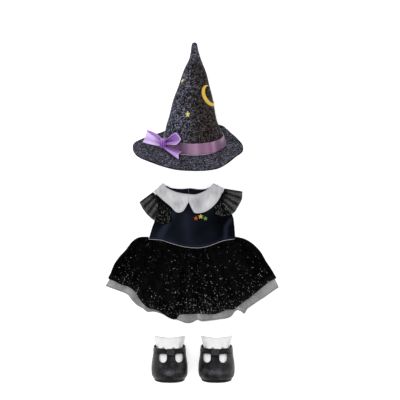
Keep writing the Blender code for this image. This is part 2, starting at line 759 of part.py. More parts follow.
def make_sole(shop, shoe, frame):
    """The sole: a rounded slab with a softened lower edge."""
    shape = bmesh.new()
    rings = []
    for along in (row[0] for row in SOLE_FORM):
        ring = []
        for step in range(SOLE_SIDES):
            across, out = shoe_section(SOLE_FORM, 2.0 * math.pi * step / SOLE_SIDES, along)
            ring.append(shape.verts.new(frame(across, along, out) * MM))
        rings.append(ring)
    for low, high in zip(rings, rings[1:]):
        for step in range(SOLE_SIDES):
            after = (step + 1) % SOLE_SIDES
            shape.faces.new((low[step], low[after], high[after], high[step]))
    shape.faces.new(rings[0])
    shape.faces.new(rings[-1])
    shop.add(f"shoe_{shoe.name}_sole", "sole_rubber", shape)


def cutout_outline(middle):
    """A flat-topped, round-bottomed opening in the vamp."""
    radius = CUTOUT_WIDTH / 2.0
    outline = [(middle - radius, CUTOUT_HIGH), (middle + radius, CUTOUT_HIGH)]
    for step in range(7):
        turn = math.pi * step / 6.0
        outline.append((middle + radius * math.cos(turn), CUTOUT_LOW + radius - radius * math.sin(turn)))
    return outline


def make_upper(shop, shoe, frame):
    """The leather upper, open at the ankle, with two openings beside its centre bar."""
    low = UPPER_FORM[0][0]

    def place(around, up):
        azimuth = 2.0 * math.pi * (around % 1.0)
        top = UPPER_TOP - UPPER_TOP_SLOPE * math.cos(azimuth)
        along = low + (top - low) * up
        across, out = shoe_section(UPPER_FORM, azimuth, along)
        return frame(across, along, out)

    upper = shop.sheet(f"shoe_{shoe.name}_upper", "black_leather", (28, 6), place, LEATHER_WALL)
    for number, side in ((1, -0.5), (2, 0.5)):
        middle = shoe.turn * CUTOUT_SHIFT + side * CUTOUT_APART
        name = f"cutout_{shoe.name}_{number}"
        shop.cut(upper, name, cutout_outline(middle), 3.0, 45.0, frame)


def make_strap(shop, shoe, frame):
    """The strap over the top of the vamp, from side to side."""
    grow = (LEATHER_WALL + STRAP_WALL) / 2.0 + SEAM

    def place(across, up):
        azimuth = STRAP_REACH * (2.0 * across - 1.0)
        along = STRAP_FROM + (STRAP_TO - STRAP_FROM) * up
        side, out = shoe_section(UPPER_FORM, azimuth, along, grow, grow * VAMP_SLOPE)
        return frame(side, along, out)

    shop.sheet(f"shoe_{shoe.name}_strap", "black_leather", (18, 1), place, STRAP_WALL)


def make_sock(shop, shoe, frame):
    """The sock in the shoe, closed at the foot, and its frilled cuff."""
    low = SOCK_FORM[0][0]
    high = SOCK_FORM[-1][0]
    rows = 8

    def place(around, up):
        azimuth = 2.0 * math.pi * (around % 1.0)
        if up == 0.0:
            return frame(0.0, low, 0.0)
        along = low + (high - low) * (up * rows - 1.0) / (rows - 1.0)
        across, out = shoe_section(SOCK_FORM, azimuth, along)
        return frame(across, along, out)

    shop.sheet(f"sock_{shoe.name}", "white_knit", (20, rows), place, SOCK_WALL)

    cuff = FRILL_FORM[-1][0]

    def place_frill(around, up):
        azimuth = 2.0 * math.pi * (around % 1.0)
        foot = UPPER_TOP - UPPER_TOP_SLOPE * math.cos(azimuth) + LEATHER_TO_FRILL
        along = foot + (cuff - foot) * up
        flute = FRILL_FLUTE * math.cos(FRILL_FLUTES * azimuth)
        across, out = shoe_section(FRILL_FORM, azimuth, along, flute)
        return frame(across, along, out)

    shop.sheet(f"sock_{shoe.name}_frill", "white_knit", (44, 2), place_frill, SOCK_WALL)


def make_shoe(shop, shoe):
    """One shoe on its back with its sock in it."""
    frame = shoe_frame(shoe.middle)
    make_sole(shop, shoe, frame)
    make_upper(shop, shoe, frame)
    make_strap(shop, shoe, frame)
    make_sock(shop, shoe, frame)


def main():
    """Build the whole costume."""
    for old in list(bpy.data.objects):
        bpy.data.objects.remove(old, do_unlink=True)
    shop = Workshop()
    make_crown(shop)
    make_brim(shop)
    make_band(shop)
    make_bow(shop)
    make_dress(shop)
    for shoe in SHOES:
        make_shoe(shop, shoe)


main()
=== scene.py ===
"""Looks of a doll's witch costume laid out flat: pointed hat, gathered dress, strap shoes with socks.

Pieces are shaped in layout millimetres, with the table at z = 0, and become metres in the frame
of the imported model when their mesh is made.
"""

import logging
import math
import random
from collections.abc import Callable
from dataclasses import dataclass
from enum import Enum
from typing import NamedTuple

import bmesh
import bpy
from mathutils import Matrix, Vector, noise

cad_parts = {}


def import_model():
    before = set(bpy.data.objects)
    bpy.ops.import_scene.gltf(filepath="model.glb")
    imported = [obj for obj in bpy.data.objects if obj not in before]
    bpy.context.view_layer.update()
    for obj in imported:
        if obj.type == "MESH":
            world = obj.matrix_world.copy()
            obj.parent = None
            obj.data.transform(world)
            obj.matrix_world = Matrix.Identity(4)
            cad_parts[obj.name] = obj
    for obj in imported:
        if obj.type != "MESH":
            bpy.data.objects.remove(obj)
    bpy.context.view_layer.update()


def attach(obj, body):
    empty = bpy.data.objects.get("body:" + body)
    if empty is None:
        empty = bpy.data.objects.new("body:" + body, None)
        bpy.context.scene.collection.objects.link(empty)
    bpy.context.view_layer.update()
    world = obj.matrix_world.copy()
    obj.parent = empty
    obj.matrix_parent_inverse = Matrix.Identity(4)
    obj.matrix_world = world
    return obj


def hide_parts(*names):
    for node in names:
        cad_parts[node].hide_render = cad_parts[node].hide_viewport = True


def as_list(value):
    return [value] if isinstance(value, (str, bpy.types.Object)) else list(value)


LOG = logging.getLogger("witch_costume")

MM = 0.001
LAYOUT_MIDDLE = Vector((1.45, 0.35, 0.0))
SEAM = 0.35
FULL_TURN = 2.0 * math.pi

Point = tuple[float, float]
Colour = tuple[float, float, float]
Place = Callable[[float, float], Vector]
Tone = Callable[[float, float, Vector], float]


def to_metres(spot: Vector) -> Vector:
    """Turn a place in layout millimetres into metres in the model's frame."""
    return (Vector(spot) - LAYOUT_MIDDLE) * MM


def smooth(value: float) -> float:
    """Ease a share between 0 and 1."""
    value = min(max(value, 0.0), 1.0)
    return value * value * (3.0 - 2.0 * value)


def wobble(*place: float) -> float:
    """Give smooth noise from -1 to 1 at a place."""
    return noise.noise(Vector(place))


def read(table: list[tuple], key: float) -> list[float]:
    """Read a table on a smooth line through its rows.

    Args:
        table: Rows that start with a rising key.
        key: Where to read, held inside the table.

    Returns:
        The columns beside the key.
    """
    key = min(max(key, table[0][0]), table[-1][0])
    row = 0
    while row < len(table) - 2 and key > table[row + 1][0]:
        row += 1
    low, high = table[row], table[row + 1]
    before, after = table[max(row - 1, 0)], table[min(row + 2, len(table) - 1)]
    span = high[0] - low[0]
    share = (key - low[0]) / span
    square, cube = share * share, share**3
    values = []
    for column in range(1, len(low)):
        low_slope = span * (high[column] - before[column]) / (high[0] - before[0])
        high_slope = span * (after[column] - low[column]) / (after[0] - low[0])
        values.append(
            low[column] * (2.0 * cube - 3.0 * square + 1.0)
            + low_slope * (cube - 2.0 * square + share)
            + high[column] * (3.0 * square - 2.0 * cube)
            + high_slope * (cube - square)
        )
    return values


class Edge:
    """A smooth cut edge through its points, read by its share of length."""

    def __init__(self, points: list[Point]) -> None:
        """Measure the edge."""
        lengths = [0.0]
        for start, end in zip(points, points[1:]):
            lengths.append(lengths[-1] + math.dist(start, end))
        self.length = lengths[-1]
        self.table = [(length / self.length, *point) for length, point in zip(lengths, points)]

    def at(self, share: float) -> Vector:
        """Give the place at a share of the edge's length."""
        return Vector(read(self.table, share))

    def beside(self, share: float, distance: float) -> Vector:
        """Give a place at a distance to the left of the edge, seen along it."""
        step = 0.01
        ahead = self.at(share + step) - self.at(share - step)
        ahead.normalize()
        return self.at(share) + distance * Vector((-ahead.y, ahead.x))

    def shifted(self, distance: float) -> "Edge":
        """Give the edge moved sideways by a distance, to its left."""
        count = 16
        return Edge([tuple(self.beside(step / count, distance)) for step in range(count + 1)])


def patch(bottom: Edge, top: Edge, left: Edge, right: Edge) -> Callable[[float, float], Vector]:
    """Make a flat panel between four edges.

    Args:
        bottom: Edge at share up 0, from left to right.
        top: Edge at share up 1, from left to right.
        left: Edge at share across 0, from bottom to top.
        right: Edge at share across 1, from bottom to top.

    Returns:
        A function from share across and share up to x and y.
    """
    corners = [bottom.at(0.0), bottom.at(1.0), top.at(0.0), top.at(1.0)]

    def place(across: float, up: float) -> Vector:
        rows = bottom.at(across) * (1.0 - up) + top.at(across) * up
        columns = left.at(up) * (1.0 - across) + right.at(up) * across
        low = corners[0] * (1.0 - across) + corners[1] * across
        high = corners[2] * (1.0 - across) + corners[3] * across
        return rows + columns - low * (1.0 - up) - high * up

    return place


class Crease(NamedTuple):
    """A soft fold in cloth: its line, how wide it spreads and how high it stands, or lies if below 0."""

    points: list[Point]
    width: float
    height: float

    def at(self, x: float, y: float) -> float:
        """Give the fold's height at a place, fading past its ends."""
        nearest = math.inf
        count = len(self.points) - 1
        for index in range(count):
            start, end = Vector(self.points[index]), Vector(self.points[index + 1])
            line = end - start
            share = (Vector((x, y)) - start).dot(line) / line.length_squared
            share = min(max(share, 0.0), 1.0)
            off = (Vector((x, y)) - start.lerp(end, share)).length
            nearest = min(nearest, off)
        return self.height * math.exp(-((nearest / self.width) ** 2))


class Nodes:
    """Adds and links shader nodes in one tree."""

    def __init__(self, tree: bpy.types.NodeTree) -> None:
        """Keep the tree."""
        self.tree = tree

    def add(self, kind: str, outputs: str = "", settings: dict | None = None, **inputs: object) -> object:
        """Add a node.

        Args:
            kind: Blender's name of the node.
            outputs: Name of the output to give back, or empty for the node itself.
            settings: The node's own options.
            **inputs: Sockets or constants by input name, with _ for a space.

        Returns:
            The named output socket, or the node.
        """
        node = self.tree.nodes.new(kind)
        for key, value in (settings or {}).items():
            setattr(node, key, value)
        for key, value in inputs.items():
            self.feed(node.inputs[key.replace("_", " ")], value)
        return node.outputs[outputs] if outputs else node

    def feed(self, socket: bpy.types.NodeSocket, value: object) -> None:
        """Link a socket to an input, or set the input to a constant."""
        if isinstance(value, bpy.types.NodeSocket):
            self.tree.links.new(value, socket)
        else:
            socket.default_value = value

    def math(self, operation: str, *values: object) -> bpy.types.NodeSocket:
        """Add a Math node and give its result."""
        node = self.add("ShaderNodeMath", settings={"operation": operation})
        for socket, value in zip(node.inputs, values):
            self.feed(socket, value)
        return node.outputs[0]

    def held(self, value: bpy.types.NodeSocket) -> bpy.types.NodeSocket:
        """Hold a value between 0 and 1."""
        return self.add("ShaderNodeClamp", "Result", Value=value)

    def mix(self, factor: object, low: object, high: object) -> bpy.types.NodeSocket:
        """Mix two colours and give the result."""
        node = self.add("ShaderNodeMix", settings={"data_type": "RGBA"})
        self.feed(node.inputs[0], factor)
        for socket, value in ((node.inputs[6], low), (node.inputs[7], high)):
            self.feed(socket, (*value, 1.0) if isinstance(value, tuple) else value)
        return node.outputs[2]

    def spread(self, value: object, low: float, high: float, to_low: float, to_high: float) -> object:
        """Map a value from one range to another, held at its ends."""
        node = self.add("ShaderNodeMapRange")
        for socket, number in zip(node.inputs, (value, low, high, to_low, to_high)):
            self.feed(socket, number)
        return node.outputs[0]

    def bump(self, height: object, distance: float, strength: float = 1.0) -> bpy.types.NodeSocket:
        """Turn a height into a normal."""
        return self.add("ShaderNodeBump", "Normal", Height=height, Distance=distance, Strength=strength)

    def group(self, group: bpy.types.NodeTree, **inputs: object) -> bpy.types.ShaderNodeGroup:
        """Place a shared group with its own values."""
        node = self.tree.nodes.new("ShaderNodeGroup")
        node.node_tree = group
        for key, value in inputs.items():
            self.feed(node.inputs[key.replace("_", " ")], value)
        return node


def new_group(name: str, inputs: dict[str, str], outputs: dict[str, str]) -> tuple:
    """Start a shader node group.

    Args:
        name: Name of the group.
        inputs: Socket kinds by input name.
        outputs: Socket kinds by output name.

    Returns:
        The group, its node helper, its input node and its output node.
    """
    group = bpy.data.node_groups.new(name, "ShaderNodeTree")
    for direction, sockets in (("INPUT", inputs), ("OUTPUT", outputs)):
        for socket, kind in sockets.items():
            group.interface.new_socket(name=socket, in_out=direction, socket_type=kind)
    nodes = Nodes(group)
    return group, nodes, nodes.add("NodeGroupInput"), nodes.add("NodeGroupOutput")


VECTOR = "NodeSocketVector"
FLOAT = "NodeSocketFloat"


class Effects:
    """Surface effects that several finishes share, each built once."""

    def __init__(self) -> None:
        """Build the groups."""
        self.net = self.make_net()
        self.knit = self.make_knit()
        self.ribs = self.make_ribs()
        self.pile = self.make_pile()

    def make_net(self) -> bpy.types.NodeTree:
        """Six-sided net: a mask of its threads."""
        group, nodes, given, out = new_group(
            "net_threads", {"Vector": VECTOR, "Pitch": FLOAT, "Thread": FLOAT}, {"Threads": FLOAT}
        )
        scale = nodes.math("DIVIDE", 1.0, given.outputs["Pitch"])
        threads = nodes.add(
            "ShaderNodeTexBrick", "Fac", Vector=given.outputs["Vector"], Scale=scale,
            Mortar_Size=given.outputs["Thread"], Mortar_Smooth=0.35, Brick_Width=1.0, Row_Height=0.87,
        )
        nodes.feed(out.inputs["Threads"], threads)
        return group

    def make_knit(self) -> bpy.types.NodeTree:
        """Fine knit: rows of small stitches."""
        group, nodes, given, out = new_group(
            "knit_stitches", {"Vector": VECTOR, "Size": FLOAT}, {"Height": FLOAT}
        )
        parts = nodes.add("ShaderNodeSeparateXYZ", Vector=given.outputs["Vector"])
        turn = nodes.math("DIVIDE", FULL_TURN, given.outputs["Size"])
        across = nodes.math("MULTIPLY", parts.outputs["X"], turn)
        along = nodes.math("MULTIPLY", parts.outputs["Y"], turn)
        lean = nodes.math("ABSOLUTE", nodes.math("SINE", nodes.math("MULTIPLY", across, 0.5)))
        rows = nodes.math("SINE", nodes.math("ADD", along, nodes.math("MULTIPLY", lean, 2.0)))
        height = nodes.math("MULTIPLY", nodes.math("ADD", rows, 1.0), nodes.math("MULTIPLY", lean, 0.5))
        nodes.feed(out.inputs["Height"], height)
        return group

    def make_ribs(self) -> bpy.types.NodeTree:
        """Parallel threads or ribs that run along the piece's length."""
        group, nodes, given, out = new_group(
            "parallel_threads", {"Vector": VECTOR, "Pitch": FLOAT}, {"Height": FLOAT, "Threads": FLOAT}
        )
        parts = nodes.add("ShaderNodeSeparateXYZ", Vector=given.outputs["Vector"])
        turn = nodes.math("DIVIDE", FULL_TURN, given.outputs["Pitch"])
        wave = nodes.math("SINE", nodes.math("MULTIPLY", parts.outputs["X"], turn))
        nodes.feed(out.inputs["Height"], nodes.math("MULTIPLY_ADD", wave, 0.5, 0.5))
        scale = nodes.math("DIVIDE", 0.7, given.outputs["Pitch"])
        stretched = nodes.add("ShaderNodeCombineXYZ", "Vector", X=parts.outputs["X"],
                              Y=nodes.math("MULTIPLY", parts.outputs["Y"], 0.04), Z=0.0)
        streaks = nodes.add("ShaderNodeTexNoise", "Fac", Vector=stretched, Scale=scale, Detail=2.0)
        nodes.feed(out.inputs["Threads"], streaks)
        return group

    def make_pile(self) -> bpy.types.NodeTree:
        """Short pile or fuzz: fine grain over larger brushed patches."""
        group, nodes, given, out = new_group(
            "brushed_pile", {"Vector": VECTOR, "Grain": FLOAT, "Patch": FLOAT}, {"Height": FLOAT, "Patches": FLOAT}
        )
        for size, detail, socket in (("Grain", 2.0, "Height"), ("Patch", 3.0, "Patches")):
            scale = nodes.math("DIVIDE", 1.0, given.outputs[size])
            value = nodes.add("ShaderNodeTexNoise", "Fac", Vector=given.outputs["Vector"], Scale=scale, Detail=detail)
            nodes.feed(out.inputs[socket], value)
        return group


def new_material(name: str, roughness: float, specular: float) -> tuple:
    """Start a material.

    Args:
        name: Name of the finish.
        roughness: Roughness all over, if nothing is linked to it.
        specular: Specular level, which is a constant.

    Returns:
        The material, its node helper and its Principled BSDF.
    """
    material = bpy.data.materials.new(name)
    material.use_nodes = True
    nodes = Nodes(material.node_tree)
    shader = material.node_tree.nodes["Principled BSDF"]
    shader.inputs["Roughness"].default_value = roughness
    shader.inputs["Specular IOR Level"].default_value = specular
    return material, nodes, shader


class Surface(Enum):
    """How the surface of a cloth is made."""

    KNIT = "knit"
    PILE = "pile"
    RIBS = "ribs"


@dataclass(frozen=True)
class Cloth:
    """A close cloth whose tone runs from dark to light over the piece."""

    name: str
    surface: Surface
    dark: Colour
    light: Colour
    size: float
    relief: float
    roughness: float = 0.8
    specular: float = 0.2
    sheen: float = 0.0
    sheen_tint: Colour = (1.0, 1.0, 1.0)
    contrast: float = 0.2
    anisotropy: float = 0.0

    def make(self, effects: Effects) -> bpy.types.Material:
        """Build the cloth's material."""
        material, nodes, shader = new_material(self.name, self.roughness, self.specular)
        shader.inputs["Sheen Weight"].default_value = self.sheen
        shader.inputs["Sheen Roughness"].default_value = 0.35
        shader.inputs["Sheen Tint"].default_value = (*self.sheen_tint, 1.0)
        shader.inputs["Anisotropic"].default_value = self.anisotropy
        places = nodes.add("ShaderNodeTexCoord")
        flat, solid = places.outputs["UV"], places.outputs["Object"]
        pile = nodes.group(effects.pile, Vector=solid, Grain=self.size, Patch=14.0 * MM)
        if self.surface is Surface.KNIT:
            height = nodes.group(effects.knit, Vector=flat, Size=self.size).outputs["Height"]
        elif self.surface is Surface.RIBS:
            ribs = nodes.group(effects.ribs, Vector=flat, Pitch=self.size)
            height = nodes.math("MULTIPLY_ADD", ribs.outputs["Threads"], 0.7, nodes.math("MULTIPLY", ribs.outputs["Height"], 0.3))
        else:
            height = pile.outputs["Height"]
        tone = nodes.add("ShaderNodeAttribute", "Fac", settings={"attribute_name": "tone"})
        shift = nodes.math("MULTIPLY_ADD", pile.outputs["Patches"], self.contrast, -0.5 * self.contrast)
        fine = nodes.math("MULTIPLY_ADD", height, self.contrast, -0.5 * self.contrast)
        factor = nodes.held(nodes.math("ADD", tone, nodes.math("ADD", shift, fine)))
        nodes.feed(shader.inputs["Base Color"], nodes.mix(factor, self.dark, self.light))
        nodes.feed(shader.inputs["Normal"], nodes.bump(height, self.relief))
        return material


@dataclass(frozen=True)
class Tweed:
    """Dark napped cloth with pale flecks and fine glitter; with the tone, the flecks' colour runs from a painted-shade
    copy to a painted-sheen copy.
    """

    name: str
    dark: Colour
    sheen_fleck: Colour
    shade_fleck: Colour
    coarse: float
    fine: float

    def make(self, effects: Effects) -> bpy.types.Material:
        """Build the cloth's material."""
        material, nodes, shader = new_material(self.name, 0.6, 0.02)
        solid = nodes.add("ShaderNodeTexCoord").outputs["Object"]
        tone = nodes.add("ShaderNodeAttribute", "Fac", settings={"attribute_name": "tone"})
        values = []
        for size in (self.coarse, self.fine):
            cells = nodes.add("ShaderNodeTexVoronoi", Vector=solid, Scale=1.0 / size)
            values.append(nodes.add("ShaderNodeSeparateColor", Color=cells.outputs["Color"]).outputs)
        speck = nodes.math("ADD", nodes.math("MULTIPLY", values[0]["Red"], 0.65),
                           nodes.math("MULTIPLY", values[1]["Red"], 0.35))
        speck = nodes.math("POWER", speck, 3.6)
        pile = nodes.group(effects.pile, Vector=solid, Grain=0.5 * MM, Patch=26.0 * MM)
        factor = nodes.math("MULTIPLY", speck, nodes.spread(pile.outputs["Patches"], 0.3, 0.7, 1.0, 1.8))
        # painted light: the tone mixes the flecks from their shaded colour to their sheen-lit colour
        fleck = nodes.mix(nodes.held(tone), self.shade_fleck, self.sheen_fleck)
        colour = nodes.mix(nodes.held(factor), self.dark, fleck)
        glint = nodes.math("MULTIPLY", nodes.math("GREATER_THAN", values[1]["Green"], 0.95), 0.9)
        colour = nodes.mix(nodes.math("MULTIPLY", glint, 0.22), colour, (0.5, 0.5, 0.56))
        nodes.feed(shader.inputs["Base Color"], colour)
        nodes.feed(shader.inputs["Metallic"], glint)
        nodes.feed(shader.inputs["Roughness"], nodes.spread(glint, 0.0, 1.0, 0.75, 0.4))
        height = nodes.math("ADD", speck, pile.outputs["Height"])
        nodes.feed(shader.inputs["Normal"], nodes.bump(height, 0.25 * MM))
        return material


@dataclass(frozen=True)
class Net:
    """Open net cloth, more closely gathered where its tone is high; through its lift, the tone also paints light or
    shade into its colour.
    """

    name: str
    colour: Colour
    pale: Colour
    pitch: float
    thread: float
    cover: float
    specular: float
    lift: float

    def make(self, effects: Effects) -> bpy.types.Material:
        """Build the net's material."""
        material, nodes, shader = new_material(self.name, 0.6, self.specular)
        places = nodes.add("ShaderNodeTexCoord")
        threads = nodes.group(effects.net, Vector=places.outputs["UV"], Pitch=self.pitch, Thread=self.thread)
        tone = nodes.add("ShaderNodeAttribute", "Fac", settings={"attribute_name": "tone"})
        cover = nodes.held(nodes.math("ADD", tone, self.cover - 0.5))
        mask = nodes.math("MAXIMUM", threads.outputs["Threads"], cover)
        pile = nodes.group(effects.pile, Vector=places.outputs["Object"], Grain=0.6 * MM, Patch=9.0 * MM)
        grain = nodes.math("MULTIPLY", pile.outputs["Patches"], pile.outputs["Height"])
        # painted light and shade: the tone, weighted by lift, lightens or darkens the net's colour
        painted_light = nodes.math("MULTIPLY_ADD", tone, self.lift, -0.5 * self.lift)
        shade = nodes.held(nodes.math("ADD", grain, painted_light))
        nodes.feed(shader.inputs["Base Color"], nodes.mix(shade, self.colour, self.pale))
        nodes.feed(shader.inputs["Alpha"], nodes.held(mask))
        nodes.feed(shader.inputs["Normal"], nodes.bump(threads.outputs["Threads"], 0.15 * MM))
        return material


@dataclass(frozen=True)
class Leather:
    """Grained leather or rubber with a crackled surface, paler in its cracks and rubbed patches, and with painted
    highlight where the tone is high.
    """

    name: str
    dark: Colour
    wear_and_highlight: Colour
    grain: float
    relief: float
    roughness: float
    specular: float
    coat: float = 0.0

    def make(self, effects: Effects) -> bpy.types.Material:
        """Build the leather's material."""
        material, nodes, shader = new_material(self.name, self.roughness, self.specular)
        shader.inputs["Coat Weight"].default_value = self.coat
        shader.inputs["Coat Roughness"].default_value = 0.3
        solid = nodes.add("ShaderNodeTexCoord").outputs["Object"]
        cracks = nodes.add("ShaderNodeTexVoronoi", "Distance", settings={"feature": "DISTANCE_TO_EDGE"},
                           Vector=solid, Scale=1.0 / self.grain)
        pile = nodes.group(effects.pile, Vector=solid, Grain=0.5 * self.grain, Patch=9.0 * MM)
        tone = nodes.add("ShaderNodeAttribute", "Fac", settings={"attribute_name": "tone"})
        plates = nodes.spread(cracks, 0.0, 0.12, 0.0, 1.0)
        wear = nodes.math("MULTIPLY", nodes.math("SUBTRACT", 1.0, plates), pile.outputs["Patches"])
        # the tone adds painted highlight on top of the wear
        factor = nodes.held(nodes.math("ADD", wear, nodes.math("SUBTRACT", tone, 0.5)))
        nodes.feed(shader.inputs["Base Color"], nodes.mix(factor, self.dark, self.wear_and_highlight))
        rough = nodes.spread(pile.outputs["Patches"], 0.3, 0.7, self.roughness - 0.08, self.roughness + 0.12)
        nodes.feed(shader.inputs["Roughness"], rough)
        height = nodes.math("ADD", plates, nodes.math("MULTIPLY", pile.outputs["Height"], 0.6))
        nodes.feed(shader.inputs["Normal"], nodes.bump(height, self.relief, 0.7))
        return material


@dataclass(frozen=True)
class Foil:
    """Foil dots, coloured dot by dot."""

    name: str

    def make(self, effects: Effects) -> bpy.types.Material:
        """Build the foil's material."""
        material, nodes, shader = new_material(self.name, 0.35, 0.5)
        colour = nodes.add("ShaderNodeAttribute", "Color", settings={"attribute_name": "foil"})
        solid = nodes.add("ShaderNodeTexCoord").outputs["Object"]
        pile = nodes.group(effects.pile, Vector=solid, Grain=0.4 * MM, Patch=6.0 * MM)
        nodes.feed(shader.inputs["Base Color"], colour)
        nodes.feed(shader.inputs["Metallic"], nodes.spread(pile.outputs["Patches"], 0.0, 1.0, 0.5, 0.9))
        nodes.feed(shader.inputs["Roughness"], nodes.spread(pile.outputs["Height"], 0.3, 0.7, 0.25, 0.5))
        return material


@dataclass(frozen=True)
class Floor:
    """Pale matt board."""

    name: str = "floor_board"

    def make(self, effects: Effects) -> bpy.types.Material:
        """Build the floor's material."""
        material, nodes, shader = new_material(self.name, 0.9, 0.1)
        solid = nodes.add("ShaderNodeTexCoord").outputs["Object"]
        pile = nodes.group(effects.pile, Vector=solid, Grain=4.0 * MM, Patch=400.0 * MM)
        nodes.feed(shader.inputs["Base Color"], nodes.mix(pile.outputs["Patches"], (0.93, 0.93, 0.93), (0.96, 0.96, 0.96)))
        shader.inputs["Emission Color"].default_value = (1.0, 1.0, 1.0, 1.0)
        shader.inputs["Emission Strength"].default_value = 0.4
        return material


FINISHES = [
    Tweed("hat_cloth", (0.0015, 0.0015, 0.002), (0.22, 0.225, 0.31), (0.08, 0.064, 0.058), 1.9 * MM, 0.8 * MM),
    Cloth("hat_underside", Surface.PILE, (0.002, 0.002, 0.002), (0.008, 0.008, 0.009), 0.5 * MM, 0.15 * MM,
          specular=0.08),
    Cloth("band_satin", Surface.RIBS, (0.035, 0.010, 0.040), (0.48, 0.24, 0.42), 0.5 * MM, 0.05 * MM,
          roughness=0.38, specular=0.35, sheen=0.08, contrast=0.16, anisotropy=0.5),
    Cloth("bow_satin", Surface.RIBS, (0.16, 0.014, 0.30), (0.80, 0.64, 1.0), 0.5 * MM, 0.05 * MM,
          roughness=0.38, specular=0.3, sheen=0.06, contrast=0.14, anisotropy=0.5),
    Cloth("velvet", Surface.PILE, (0.0004, 0.0005, 0.001), (0.013, 0.016, 0.028), 0.45 * MM, 0.2 * MM,
          roughness=0.9, specular=0.03, sheen=0.012, sheen_tint=(0.55, 0.65, 1.0), contrast=0.35),
    Cloth("collar_knit", Surface.KNIT, (0.30, 0.30, 0.32), (0.68, 0.68, 0.70), 0.7 * MM, 0.08 * MM, contrast=0.16),
    Cloth("sock_knit", Surface.KNIT, (0.44, 0.43, 0.43), (0.86, 0.85, 0.85), 0.8 * MM, 0.1 * MM, contrast=0.12),
    Cloth("lining", Surface.PILE, (0.0004, 0.0004, 0.0004), (0.0016, 0.0016, 0.002), 0.4 * MM, 0.1 * MM,
          specular=0.02),
    # A net's last number, lift, is how far its tone paints highlight (above 0) or shade (below 0) into its colour
    Net("skirt_net", (0.0003, 0.0003, 0.0003), (0.010, 0.010, 0.0115), 1.3 * MM, 0.11, 0.72, 0.015, 0.8),
    Net("sleeve_net", (0.001, 0.001, 0.001), (0.020, 0.020, 0.022), 1.3 * MM, 0.10, 0.37, 0.05, -0.4),
    Net("petticoat_net", (0.22, 0.22, 0.224), (0.48, 0.48, 0.485), 1.3 * MM, 0.09, 0.28, 0.08, -0.5),
    Leather("shoe_leather", (0.0015, 0.0015, 0.002), (0.11, 0.11, 0.125), 2.2 * MM, 0.2 * MM, 0.36, 0.10),
    Leather("strap_leather", (0.001, 0.001, 0.0013), (0.05, 0.05, 0.058), 1.6 * MM, 0.08 * MM, 0.32, 0.10),
    Leather("sole_rubber", (0.003, 0.003, 0.003), (0.02, 0.02, 0.02), 2.2 * MM, 0.06 * MM, 0.6, 0.15),
    Cloth("moon_thread", Surface.RIBS, (0.22, 0.13, 0.01), (0.70, 0.48, 0.07), 0.55 * MM, 0.12 * MM,
          roughness=0.55, specular=0.15, contrast=0.3),
    Cloth("star_thread", Surface.RIBS, (0.30, 0.25, 0.05), (0.74, 0.66, 0.22), 0.55 * MM, 0.12 * MM,
          roughness=0.55, specular=0.15, contrast=0.3),
    Cloth("orange_thread", Surface.RIBS, (0.16, 0.03, 0.005), (0.52, 0.11, 0.02), 0.5 * MM, 0.12 * MM,
          roughness=0.55, specular=0.12, contrast=0.3),
    Cloth("yellow_thread", Surface.RIBS, (0.20, 0.14, 0.02), (0.60, 0.46, 0.08), 0.5 * MM, 0.12 * MM,
          roughness=0.55, specular=0.12, contrast=0.3),
    Cloth("green_thread", Surface.RIBS, (0.05, 0.11, 0.02), (0.20, 0.34, 0.10), 0.5 * MM, 0.12 * MM,
          roughness=0.55, specular=0.12, contrast=0.3),
    Foil("foil"),
    Floor(),
]


class Held(Enum):
    LAID = "laid"
    GATHERED = "gathered"
    STRETCHED = "stretched"


class Cut(NamedTuple):
    """The flat cut of a sheet in metres: width, length, share of that rectangle, how it is held, its rest."""

    width: float
    length: float
    share: float
    held: Held
    rests_on: list[str]


